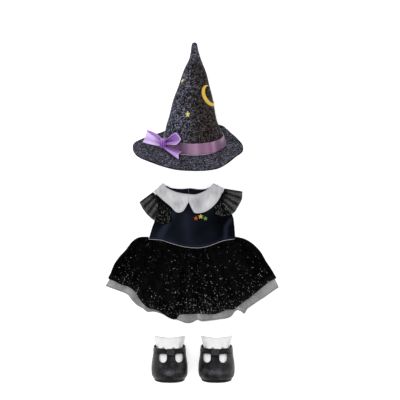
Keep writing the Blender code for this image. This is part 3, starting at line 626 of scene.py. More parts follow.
class Sewing:
    def __init__(self) -> None:
        """Make every finish once."""
        effects = Effects()
        self.finishes = {finish.name: finish.make(effects) for finish in FINISHES}

    def piece(self, name: str, shape: bmesh.types.BMesh, finishes: list[str], slot: str, stands_for: list[str]) -> object:
        """Make a finished mesh a piece that rides on the one body.

        Args:
            name: Name of the piece.
            shape: Its mesh in metres, which is freed.
            finishes: Names of its finishes, in order of material index.
            slot: The record's material slot; not used.
            stands_for: CAD nodes that it replaces, if any.

        Returns:
            The new object.
        """
        mesh = bpy.data.meshes.new(name)
        shape.to_mesh(mesh)
        shape.free()
        for finish in finishes:
            mesh.materials.append(self.finishes[finish])
        mesh.shade_smooth()
        made = bpy.data.objects.new(name, mesh)
        bpy.context.scene.collection.objects.link(made)
        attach(made, "root")
        if stands_for:
            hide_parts(*stands_for)
        LOG.info("%s: %d faces", name, len(mesh.polygons))
        return made

    def sheet(
        self, name: str, cells: tuple[int, int], size: tuple[float, float], wall: float, place: Place,
        finishes: list[str], slot: str, stands_for: list[str], tone: Tone | None = None, cut: Cut | None = None,
        outward: Vector | None = None,
    ) -> object:
        """Sew a sheet whose middle surface is given by shares across and along.

        Args:
            name: Name of the piece.
            cells: Cells across and along.
            size: Width and length in millimetres that its surface pattern is laid out on.
            wall: Thickness in millimetres.
            place: From share across and along to a place in layout millimetres.
            finishes: Names of its finishes; a second one goes on the inside and the rim.
            slot: The record's material slot.
            stands_for: CAD nodes that it replaces.
            tone: From the shares and the place to a tone from 0 to 1, or None for 0.5.
            cut: Its flat cut, if it is a sheet of cloth.
            outward: The way its first finish faces, where that matters.

        Returns:
            The new object.
        """
        shape = bmesh.new()
        bmesh.ops.create_grid(shape, x_segments=cells[0], y_segments=cells[1], size=0.5)
        pattern = shape.loops.layers.uv.new("UVMap")
        tones = shape.verts.layers.float.new("tone")
        shares = {}
        for vertex in shape.verts:
            across = round((vertex.co.x + 0.5) * cells[0]) / cells[0]
            along = round((vertex.co.y + 0.5) * cells[1]) / cells[1]
            shares[vertex] = (across, along)
        for face in shape.faces:
            for loop in face.loops:
                across, along = shares[loop.vert]
                loop[pattern].uv = (across * size[0] * MM, along * size[1] * MM)
        for vertex, (across, along) in shares.items():
            spot = Vector(place(across, along))
            vertex[tones] = tone(across, along, spot) if tone else 0.5
            vertex.co = to_metres(spot)
        bmesh.ops.remove_doubles(shape, verts=shape.verts, dist=0.004 * MM)
        shape.normal_update()
        bmesh.ops.recalc_face_normals(shape, faces=shape.faces)
        if outward and sum(face.normal.dot(outward) * face.calc_area() for face in shape.faces) < 0.0:
            bmesh.ops.reverse_faces(shape, faces=shape.faces)
        made = self.piece(name, shape, finishes, slot, stands_for)
        thicken = made.modifiers.new("wall", "SOLIDIFY")
        thicken.thickness = wall * MM
        thicken.offset = 0.0
        if len(finishes) > 1:
            thicken.material_offset = 1
            thicken.material_offset_rim = 1
        if cut:
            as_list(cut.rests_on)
        return made


BRIM_EDGE = [
    (-180.0, 78.0, 0.0), (-152.0, 74.0, 1.0), (-140.0, 66.5, 2.0), (-124.8, 67.0, 2.0), (-105.4, 79.0, 2.0),
    (-89.4, 90.6, 2.0), (-76.7, 94.5, 1.0), (-63.0, 96.2, 0.0), (-46.7, 95.3, 0.0), (-31.0, 94.2, -2.0),
    (-17.5, 94.0, -3.5), (0.0, 94.0, -4.0), (12.0, 95.4, -3.5), (21.0, 96.5, -2.0), (32.5, 90.0, 0.0),
    (46.0, 84.0, 3.0), (60.0, 82.0, 5.0), (73.0, 75.8, 6.0), (96.4, 65.4, 6.0), (123.0, 66.0, 4.0),
    (142.0, 74.7, 2.0), (152.0, 73.0, 1.0), (180.0, 78.0, 0.0),
]
# Share of the crown's length, its radius and how far it bends to the right
CROWN_FORM = [
    (0.0, 45.7, 0.0), (0.08, 42.7, -1.0), (0.166, 38.5, -2.8), (0.227, 35.3, -3.0), (0.38, 29.5, -2.1),
    (0.54, 22.5, -0.7), (0.622, 18.8, -0.4), (0.708, 14.2, 0.0), (0.797, 9.0, 0.6), (0.89, 5.5, 0.3),
    (0.95, 4.2, 0.1), (1.0, 3.3, 0.0),
]
# Azimuth from the front and tone of the ribbon band: painted satin highlights round the band and painted shade beside
# the bow
BAND_SHEEN_AND_SHADE = [
    (-180.0, 0.35), (-60.0, 0.25), (-24.0, 0.10), (-8.0, 0.34), (4.0, 0.52), (14.0, 0.30), (24.0, 0.50),
    (32.0, 0.34), (39.0, 0.62), (50.0, 0.18), (70.0, 0.34), (180.0, 0.35),
]


@dataclass
class Hat:
    """The pointed hat, lying on the back of its brim: crown, brim, ribbon band and embroidery."""

    sewing: Sewing
    middle: Point = (5.1, 102.75)
    height: float = 52.0
    tilt: float = math.radians(22.0)
    ring_radius: float = 45.7
    length: float = 163.8
    start: float = math.radians(8.0)
    droop: float = math.radians(52.0)
    blend: float = 0.3
    dent: float = 0.9
    wall: float = 1.5
    brim_wall: float = 2.0
    ribbon: float = 1.0
    band_from: float = 0.5
    band_shown: float = 12.6
    tip_start: float = 0.985

    def ring_point(self, right: float, front: float, up: float) -> Vector:
        """Give a place from the middle of the ring where crown and brim meet."""
        sine, cosine = math.sin(self.tilt), math.cos(self.tilt)
        return Vector((
            self.middle[0] + right,
            self.middle[1] - front * sine + up * cosine,
            self.height + front * cosine + up * sine,
        ))

    def radius(self, share: float) -> float:
        """Give the crown's radius at a share of its length."""
        return read(CROWN_FORM, share)[0]

    def bend(self, share: float) -> float:
        """Give how far the crown's axis bends to the right at a share of its length."""
        return read(CROWN_FORM, share)[1]

    def crown_point(self, azimuth: float, share: float, out: float = 0.0) -> Vector:
        """Give a place on the crown.

        Args:
            azimuth: Turn from the front, to the right.
            share: Share of the crown's length.
            out: Distance outward from its middle surface.

        Returns:
            The place in layout millimetres.
        """
        angle = self.start - self.droop * share
        forward = (math.sin(self.start) - math.sin(angle)) / self.droop
        rise = (math.cos(angle) - math.cos(self.start)) / self.droop
        blend = min(share / self.blend, 1.0)
        tilt = self.tilt * (1.0 - blend) + angle * blend
        sine, cosine = math.sin(azimuth), math.cos(azimuth)
        dents = self.dent * math.sin(math.pi * min(share, 1.0)) ** 0.5
        radius = self.radius(share) + out + dents * wobble(1.6 * sine, 1.6 * cosine, 6.0 * share)
        return Vector((
            self.middle[0] + self.bend(share) + radius * sine,
            self.middle[1] + self.length * forward - radius * cosine * math.sin(tilt),
            self.height + self.length * rise + radius * cosine * math.cos(tilt),
        ))

    def share_at(self, azimuth: float, y: float) -> float:
        """Find the share of the crown's length where it passes a y of the layout."""
        low, high = 0.0, 1.0
        for _ in range(24):
            middle = 0.5 * (low + high)
            if self.crown_point(azimuth, middle).y < y:
                low = middle
            else:
                high = middle
        return low

    def locate(self, x: float, y: float, out: float = 0.0) -> Point:
        """Find the azimuth and share of the crown's front surface over a place of the layout."""
        low, high = -0.1, 1.0
        azimuth = 0.0
        for _ in range(20):
            middle = 0.5 * (low + high)
            sine = (x - self.middle[0] - self.bend(middle)) / (self.radius(middle) + out)
            azimuth = math.asin(min(max(sine, -1.0), 1.0))
            if self.crown_point(azimuth, middle, out).y < y:
                low = middle
            else:
                high = middle
        return azimuth, low

    def front_at(self, x: float, y: float, out: float) -> Vector:
        """Find the crown's front surface over a place of the layout, raised outward."""
        return self.crown_point(*self.locate(x, y, out), out)

    def brim_point(self, azimuth: float, share: float) -> Vector:
        """Give a place on the brim, which is pressed flat where it meets the table."""
        edge, rise = read(BRIM_EDGE, math.degrees(azimuth))
        radius = self.ring_radius + (edge - self.ring_radius) * share
        up = -SEAM - self.brim_wall / 2.0 + rise * share * share
        up += 0.8 * share * wobble(2.0 * math.sin(azimuth), 2.0 * math.cos(azimuth), share)
        for stitch in (0.9, 0.95):
            up -= 0.3 * math.exp(-(((share - stitch) / 0.012) ** 2))
        spot = self.ring_point(radius * math.sin(azimuth), radius * math.cos(azimuth), up)
        below = self.brim_wall / 2.0 - spot.z
        if below > 0.0:
            spot.y += below * (1.0 - math.sin(self.tilt)) / math.cos(self.tilt)
            spot.z = self.brim_wall / 2.0
        return spot

    def crown_sheen_and_shade(self, across: float, along: float, spot: Vector) -> float:
        """Paint sheen on the left of the crown and on its tip and shade toward its right, with random patches."""
        # painted sheen on the tip
        tip = 0.65 * smooth((along - 0.55) / 0.35)
        return 0.12 - 0.033 * (spot.x - 7.3) + tip + 0.25 * wobble(spot.x * 0.04, spot.y * 0.04, 0.0)

    def brim_sheen(self, across: float, along: float, spot: Vector) -> float:
        """Paint the brim with the sheen-lit flecks, nearly even."""
        return 0.8 + 0.4 * wobble(spot.x * 0.04, spot.y * 0.04, 0.0)

    def make_crown(self) -> None:
        """Make the drooping cone with its closed, rounded tip."""
        rows = 84

        def place(across: float, along: float) -> Vector:
            azimuth = FULL_TURN * (across % 1.0)
            turn = 0.5 * math.pi * max(along - 0.94, 0.0) / 0.06
            share = min(along / 0.94, 1.0) * self.tip_start + (1.0 - self.tip_start) * math.sin(turn)
            closed = -(self.radius(share)) * (1.0 - math.cos(turn)) if along < 1.0 else -self.radius(share)
            return self.crown_point(azimuth, share, closed)

        cut = Cut(0.295, 0.165, 0.50, Held.STRETCHED, ["hat_brim_cloth"])
        self.sewing.sheet("hat_crown_cloth", (120, rows), (287.0, 164.0), self.wall, place, ["hat_cloth"],
                          "hat_cloth", ["hat_crown"], self.crown_sheen_and_shade, cut)

    def make_brim(self) -> None:
        """Make the wide brim with its stitched edge and dark underside."""

        def place(across: float, along: float) -> Vector:
            return self.brim_point(FULL_TURN * (across % 1.0) - math.pi, along)

        cut = Cut(0.193, 0.165, 0.50, Held.STRETCHED, ["hat_crown_cloth"])
        self.sewing.sheet("hat_brim_cloth", (168, 30), (440.0, 45.0), self.brim_wall, place,
                          ["hat_cloth", "hat_underside"], "hat_cloth", ["hat_brim"], self.brim_sheen, cut,
                          outward=Vector((0.0, math.cos(self.tilt), math.sin(self.tilt))))

    def make_band(self) -> None:
        """Make the ribbon round the foot of the crown."""
        out = (self.wall + self.ribbon) / 2.0 + SEAM

        def place(across: float, along: float) -> Vector:
            azimuth = FULL_TURN * (across % 1.0)
            share = (self.band_from + self.band_shown * along) / self.length
            loose = 0.35 * wobble(3.0 * math.sin(azimuth), 3.0 * math.cos(azimuth), 2.0 * along)
            edge = 0.15 * smooth(abs(2.0 * along - 1.0) * 8.0 - 7.0)
            return self.crown_point(azimuth, share, out + max(loose, 0.0) + edge)

        def tone(across: float, along: float, spot: Vector) -> float:
            azimuth = 360.0 * across
            azimuth = azimuth - 360.0 if azimuth > 180.0 else azimuth
            edge = 0.12 * smooth(abs(2.0 * along - 1.0) * 6.0 - 5.0)
            # painted highlights and shade from the table, lighter at the ribbon's edges
            return read(BAND_SHEEN_AND_SHADE, azimuth)[0] + edge + 0.06 * wobble(spot.x * 0.15, spot.y * 0.3, 0.0)

        cut = Cut(0.300, 0.0126, 1.0, Held.STRETCHED, ["hat_crown_cloth"])
        self.sewing.sheet("hat_band_ribbon", (180, 10), (15.0, 300.0), self.ribbon * 0.7, place, ["band_satin"],
                          "ribbon", ["hat_band"], tone, cut)

    def on_crown(self, azimuth: float, share: float, out: float) -> Callable[[float, float, float], Vector]:
        """Lay a small plane on the crown at a place, and map its right and up to places."""

        def place(right: float, up: float, raised: float) -> Vector:
            there = share + up / self.length
            return self.crown_point(azimuth + right / self.radius(there), there, out + raised)

        return place

    def make_embroidery(self) -> None:
        """Stitch the crescent and two small stars on the crown."""
        top = self.wall / 2.0 + 0.25
        azimuth = math.radians(58.0)
        ground = self.on_crown(azimuth, self.share_at(azimuth, 174.5), top)
        outer, inner, apart, opening, axis = 15.2, 12.8, 4.4, math.radians(51.0), math.radians(34.0)

        def place(across: float, along: float) -> Vector:
            turn = opening + (FULL_TURN - 2.0 * opening) * across
            reach = apart * math.cos(turn) + math.sqrt(inner**2 - (apart * math.sin(turn)) ** 2)
            radius = reach + (outer - reach) * along
            raised = 0.55 * math.sin(math.pi * along) ** 0.5
            return ground(radius * math.cos(turn + axis), radius * math.sin(turn + axis), raised)

        self.sewing.sheet("moon_embroidery", (72, 8), (65.0, 6.0), 0.4, place, ["moon_thread"], "hat_cloth", [],
                          lambda across, along, spot: 0.62)
        for name, x, y in (("star_embroidery_high", -12.0, 196.8), ("star_embroidery_low", -4.8, 146.6)):
            star(self.sewing, name, "star_thread", "hat_cloth", 3.5, self.on_crown(*self.locate(x, y), top))

    def make(self) -> None:
        """Make the whole hat."""
        self.make_crown()
        self.make_brim()
        self.make_band()
        self.make_embroidery()


def star(sewing: Sewing, name: str, finish: str, slot: str, size: float, ground: Callable) -> None:
    """Stitch a small five-pointed star.

    Args:
        sewing: Makes the piece.
        name: Name of the piece.
        finish: Name of its thread.
        slot: The record's material slot.
        size: Distance from its middle to its points in millimetres.
        ground: From right, up and raised to a place.
    """

    def place(across: float, along: float) -> Vector:
        turn = FULL_TURN * (across % 1.0)
        point = abs(((5.0 * across) % 1.0) * 2.0 - 1.0)
        radius = size * along * (0.40 + 0.60 * point**1.5)
        raised = 0.5 * (1.0 - along**3)
        return ground(-radius * math.sin(turn + math.pi), radius * math.cos(turn + math.pi) * -1.0, raised)

    sewing.sheet(name, (60, 6), (12.0, 6.0), 0.35, place, [finish], slot, [], lambda across, along, spot: 0.6)


@dataclass
class Bow:
    """The ribbon bow at the left of the band: knot, two loops and one tail."""

    sewing: Sewing
    hat: Hat
    azimuth: float = math.radians(-67.0)
    out: float = 5.5
    up: float = 8.5
    half: tuple[float, float, float] = (4.2, 5.0, 7.6)
    flat_share: float = 0.44
    wall: float = 0.7

    def knot_point(self, side: float, out: float, up: float) -> Vector:
        """Give a place from the knot's middle: toward the front, outward and up."""
        radius = self.hat.ring_radius + self.out + out
        right = radius * math.sin(self.azimuth) + side * math.cos(self.azimuth)
        front = radius * math.cos(self.azimuth) - side * math.sin(self.azimuth)
        return self.hat.ring_point(right, front, self.up + up)

    def make_knot(self) -> None:
        """Make the gathered knot."""
        shape = bmesh.new()
        bmesh.ops.create_uvsphere(shape, u_segments=72, v_segments=36, radius=1.0)
        tones = shape.verts.layers.float.new("tone")
        for vertex in shape.verts:
            side, out, up = (math.copysign(abs(value) ** 0.7, value) for value in vertex.co)
            pleat = math.cos(7.0 * math.atan2(out, side)) * (0.6 + 0.4 * abs(up))
            grow = 1.0 + 0.06 * pleat - 0.12 * (1.0 - up * up)
            spot = self.knot_point(side * self.half[0] * grow, out * self.half[1] * grow, up * self.half[2])
            # painted light and shade on the pleats: ridges lighter, hollows darker; lighter toward the top and bottom
            # ends
            vertex[tones] = 0.14 + 0.10 * pleat + 0.10 * abs(up) ** 3
            vertex.co = to_metres(spot)
        self.sewing.piece("bow_knot_ribbon", shape, ["bow_satin"], "ribbon", ["bow_knot"])

    def fold(self, share: float, edge: float) -> tuple[float, float]:
        """Follow a folded strip.

        Args:
            share: Share of the strip's length.
            edge: Share of its reach where the turn starts.

        Returns:
            How far out the strip is, and 1 on top or 0 underneath.
        """
        if share <= self.flat_share:
            return edge * share / self.flat_share, 1.0
        if share >= 1.0 - self.flat_share:
            return edge * (1.0 - share) / self.flat_share, 0.0
        turn = math.pi * (share - self.flat_share) / (1.0 - 2.0 * self.flat_share)
        return edge + (1.0 - edge) * math.sin(turn), 0.5 + 0.5 * math.cos(turn)

    def make_left_loop(self) -> None:
        """Make the loop that stands off to the left, pleated at the knot, pale with painted highlight."""
        corners = [
            self.knot_point(-4.4, 1.0, -5.6), self.knot_point(-4.4, 1.0, 5.6),
            Vector((-71.2, 105.6, 63.0)), Vector((-65.2, 123.2, 66.0)),
        ]
        lift = self.knot_point(0.0, 1.0, 0.0) - self.knot_point(0.0, 0.0, 0.0)

        def place(across: float, along: float) -> Vector:
            reach, raised = self.fold(across, 0.93)
            low = corners[0].lerp(corners[2], reach)
            high = corners[1].lerp(corners[3], reach)
            belly = math.sin(math.pi * reach)
            spot = low.lerp(high, along)
            pleat = 0.8 * math.cos(3.0 * math.pi * along) * (1.0 - reach) ** 1.5
            swing = 1.0 * math.sin(math.pi * (1.3 * along + 0.9 * reach)) * reach
            spread = 1.0 + 1.6 * belly**0.7
            side = 2.0 * raised - 1.0
            spot.y += 0.9 * belly * (0.5 - raised) * 2.0 * along
            return spot + lift * (spread * side + pleat + swing)

        def tone(across: float, along: float, spot: Vector) -> float:
            reach, raised = self.fold(across, 0.93)
            # painted light and shade: highlight growing away from the knot and a band across it, pleats light and dark,
            # upper rim and underside in painted shade
            rim = smooth(abs(2.0 * along - 1.0) * 10.0 - 8.6)
            pleat = 0.14 * math.cos(3.0 * math.pi * along) * (1.0 - reach) ** 0.6
            bright = 0.30 + 0.42 * smooth(reach * 2.2) + pleat
            bright += 0.16 * math.sin(math.pi * (1.6 * along + 1.1 * reach)) - 0.2 * rim * (along > 0.5)
            return bright if raised > 0.5 else 0.28

        cut = Cut(0.016, 0.062, 0.90, Held.GATHERED, ["bow_knot_ribbon"])
        self.sewing.sheet("bow_loop_left_ribbon", (72, 18), (14.0, 58.0), self.wall, place, ["bow_satin"], "ribbon",
                          ["bow_loop_left"], tone, cut)

    def make_right_loop(self) -> None:
        """Make the loop at the right, whose open mouth faces the viewer."""
        mouth = Edge([(-38.2, 108.6), (-31.0, 113.6), (-22.8, 118.8), (-18.4, 114.6), (-15.6, 109.0),
                      (-18.6, 104.6), (-23.0, 101.2), (-31.0, 101.8), (-38.6, 101.6)])
        deep = Edge([(-37.6, 105.4), (-33.6, 106.8), (-30.2, 108.0), (-28.2, 107.4), (-27.2, 106.4),
                     (-28.0, 105.8), (-29.8, 105.4), (-33.4, 105.0), (-37.8, 104.6)])

        def place(across: float, along: float) -> Vector:
            ends = math.sin(math.pi * across)
            front = mouth.at(across)
            back = deep.at(across)
            high = self.hat.front_at(front.x, front.y, 4.6 + 5.2 * ends**0.7)
            low = self.hat.front_at(back.x, back.y, 2.6)
            return low.lerp(high, along**0.8)

        def tone(across: float, along: float, spot: Vector) -> float:
            # painted highlight along the mouth's rim and painted shade deep in the loop at its roots; the lower half a
            # little lighter
            ends = math.sin(math.pi * across)
            lower = smooth((across - 0.55) * 8.0)
            rim = smooth(along * 9.0 - 7.9)
            root = (1.0 - smooth(ends * 1.6)) * (1.0 - 0.5 * along)
            return 0.10 + 0.13 * lower + 0.5 * rim - 0.2 * root + 0.10 * along

        cut = Cut(0.056, 0.010, 0.80, Held.GATHERED, ["bow_knot_ribbon"])
        self.sewing.sheet("bow_loop_right_ribbon", (80, 16), (14.0, 56.0), self.wall, place, ["bow_satin"], "ribbon",
                          ["bow_loop_right"], tone, cut)

    def make_tail(self) -> None:
        """Make the short tail over the band and brim, with a fold along it."""
        root = [self.knot_point(4.2, 0.4, -6.6), self.knot_point(4.6, 0.4, -3.4)]
        end = [self.hat.ring_point(-23.7, 70.5, 3.2), self.hat.ring_point(-18.9, 45.5, 5.4)]
        lift = self.hat.ring_point(0.0, 0.4, 1.0) - self.hat.ring_point(0.0, 0.0, 0.0)

        def place(across: float, along: float) -> Vector:
            across *= 1.0 - 0.10 * (1.0 - abs(2.0 * along - 1.0))
            spot = root[0].lerp(end[0], across).lerp(root[1].lerp(end[1], across), along)
            fold = 1.3 * math.sin(math.pi * along) * math.sin(0.5 * math.pi * across)
            wave = 0.7 * math.sin(FULL_TURN * along) * (1.0 - across)
            return spot + lift * (fold + wave)

        def tone(across: float, along: float, spot: Vector) -> float:
            # painted highlights along both edges and at the cut end, and a painted sheen wave along the tail
            rim = smooth(abs(2.0 * along - 1.0) * 8.0 - 6.8)
            cut_end = smooth(across * 16.0 - 14.8)
            return 0.13 + 0.24 * max(rim, cut_end) + 0.12 * across + 0.12 * math.sin(math.pi * 2.0 * along)

        cut = Cut(0.016, 0.030, 0.75, Held.LAID, ["hat_brim_cloth"])
        self.sewing.sheet("bow_tail_ribbon", (40, 16), (30.0, 14.0), self.wall, place, ["bow_satin"], "ribbon",
                          ["bow_tail"], tone, cut)

    def make(self) -> None:
        """Make the whole bow."""
        self.make_knot()
        self.make_left_loop()
        self.make_right_loop()
        self.make_tail()


WAIST = [
    (-63.5, -40.3), (-45.5, -41.6), (-30.3, -46.4), (-15.0, -50.6), (0.2, -53.0),
    (15.3, -53.0), (30.6, -49.2), (45.8, -43.2), (57.2, -41.0), (65.6, -39.8),
]
SKIRT_LEFT = [
    (-63.5, -36.8), (-74.0, -36.5), (-81.6, -38.7), (-89.1, -44.4), (-97.7, -55.8),
    (-108.2, -67.2), (-115.8, -78.6), (-120.3, -90.0), (-124.4, -97.7), (-135.0, -114.0),
]
SKIRT_RIGHT = [
    (66.3, -36.3), (74.3, -37.8), (83.7, -41.1), (94.2, -48.3), (104.7, -59.7),
    (112.2, -72.9), (119.9, -84.3), (126.5, -95.7), (131.9, -104.5), (135.0, -114.0),
]
OVERLAY_HEM = [
    (-125.3, -99.6), (-115.8, -102.5), (-104.4, -108.2), (-93.0, -111.9), (-83.4, -119.6),
    (-77.7, -129.0), (-71.1, -137.6), (-63.5, -143.3), (-54.9, -145.2), (-45.5, -149.9),
    (-34.1, -157.5), (-22.7, -160.4), (-17.9, -153.8), (-3.6, -152.4), (21.0, -151.8),
    (34.4, -152.7), (45.8, -149.0), (55.2, -145.2), (64.8, -145.2), (76.2, -135.6),
    (87.6, -128.1), (99.0, -118.5), (110.4, -109.1), (117.9, -103.4), (126.5, -99.2),
]
PETTICOAT_HEM = [
    (-131.9, -109.1), (-121.5, -112.8), (-108.2, -117.6), (-94.8, -123.3), (-89.1, -131.0),
    (-81.6, -138.5), (-72.0, -144.2), (-65.4, -149.0), (-56.0, -148.5), (-39.0, -154.0),
    (-15.0, -163.2), (-5.6, -166.1), (3.9, -164.1), (8.7, -160.4), (15.3, -163.2),
    (26.7, -162.3), (41.0, -160.7), (59.1, -156.6), (67.7, -146.5), (74.3, -148.1),
    (80.0, -151.8), (83.7, -145.2), (91.4, -139.5), (102.8, -131.9), (114.2, -124.2),
    (123.6, -117.6), (131.9, -111.9),
]
FRONT_TOP = [
    (-52.5, 27.8), (-45.5, 34.0), (-38.5, 40.2), (-34.5, 35.7), (-24.0, 29.8), (-15.0, 27.4),
    (-3.6, 25.6), (7.8, 25.6), (21.0, 30.9), (27.5, 36.2), (31.5, 39.2), (39.0, 35.8), (46.7, 32.1),
]
BACK_TOP = [
    (-52.5, 27.8), (-45.5, 34.0), (-38.5, 40.2), (-30.0, 37.0), (-15.0, 35.4), (-0.7, 36.3),
    (10.0, 34.9), (22.0, 35.4), (31.5, 39.2), (39.0, 35.8), (46.7, 32.1),
]
BODICE_LEFT = [
    (-63.3, -39.7), (-58.5, -23.0), (-53.1, -8.0), (-49.7, 8.3), (-50.5, 20.0), (-52.5, 27.8),
]
BODICE_RIGHT = [
    (66.1, -39.2), (64.8, -20.0), (62.1, -4.5), (50.5, 10.0), (47.5, 22.0), (46.7, 32.1),
]
# y, left limit and right limit that the bodice front's height follows
BODICE_SPREAD = [
    (-53.0, -63.5, 66.3), (-36.0, -63.5, 66.3), (-8.0, -53.5, 62.0), (10.0, -50.0, 51.0), (28.0, -52.0, 48.0),
]
COLLAR_LEFT = (
    [(-3.7, 27.3), (-15.0, 29.1), (-24.6, 31.5), (-36.0, 37.2), (-41.7, 43.9)],
    [(-3.7, 15.6), (-11.3, 3.0), (-16.0, 0.2), (-22.7, 0.8), (-30.3, 8.7), (-41.7, 18.3), (-56.0, 31.5)],
)
COLLAR_RIGHT = (
    [(-3.55, 27.3), (7.8, 27.3), (21.0, 32.6), (28.7, 38.3), (33.5, 43.4)],
    [(-3.55, 15.6), (3.0, 2.1), (6.0, -0.7), (13.4, -0.8), (23.0, 2.1), (34.4, 10.7), (42.9, 22.0), (48.6, 36.3)],
)
SLEEVE_LEFT = (
    [(-29.0, 5.4), (-31.3, 7.7), (-42.6, 17.3), (-57.2, 30.5)],
    [(-28.7, -14.3), (-42.2, -18.0), (-54.9, -12.2), (-64.5, -4.5), (-72.0, 5.0), (-77.7, 15.5)],
)
SLEEVE_RIGHT = (
    [(34.3, 8.8), (35.4, 9.9), (44.0, 21.6), (49.8, 35.9)],
    [(35.3, -2.5), (50.9, -6.0), (63.8, -0.8), (70.4, 8.7), (76.2, 20.3), (77.1, 31.5)],
)
# Folds that stand out in the skirt and the bodice
SKIRT_CREASES = [
    Crease([(10.3, -57.0), (9.6, -100.0), (10.4, -152.0)], 3.2, -2.4),
    Crease([(-10.6, -53.0), (-11.2, -88.0)], 3.0, -0.9),
    Crease([(20.9, -56.0), (22.4, -92.0)], 3.0, -0.9),
    Crease([(46.3, -50.3), (61.4, -62.3)], 3.0, -0.9),
    Crease([(82.4, -57.8), (100.4, -92.3)], 4.0, -1.5),
    Crease([(-24.0, -60.0), (-30.0, -96.0)], 5.0, 0.9),
    Crease([(30.0, -62.0), (36.0, -96.0)], 5.0, 0.8),
]
BODICE_CREASES = [
    Crease([(-29.5, 0.0), (-36.0, -14.0), (-46.7, -33.8)], 4.6, 1.0),
    Crease([(50.6, -36.0), (51.5, -19.8), (58.0, -10.2)], 3.2, 0.8),
    Crease([(-8.0, -4.0), (-6.0, -40.0)], 7.0, 0.35),
]


class Side(Enum):
    """Where a cell of a flattened tube lies."""

    FRONT = "front"
    RIGHT_FOLD = "right fold"
    BACK = "back"
    LEFT_FOLD = "left fold"


@dataclass
class SkirtLayer:
    """One layer of the skirt, counted inward from the outside."""

    name: str
    stands_for: str
    finish: str
    slot: str
    layer: int
    rows: int
    front_cells: int
    hem: list[Point]
    wall: float
    cut: Cut


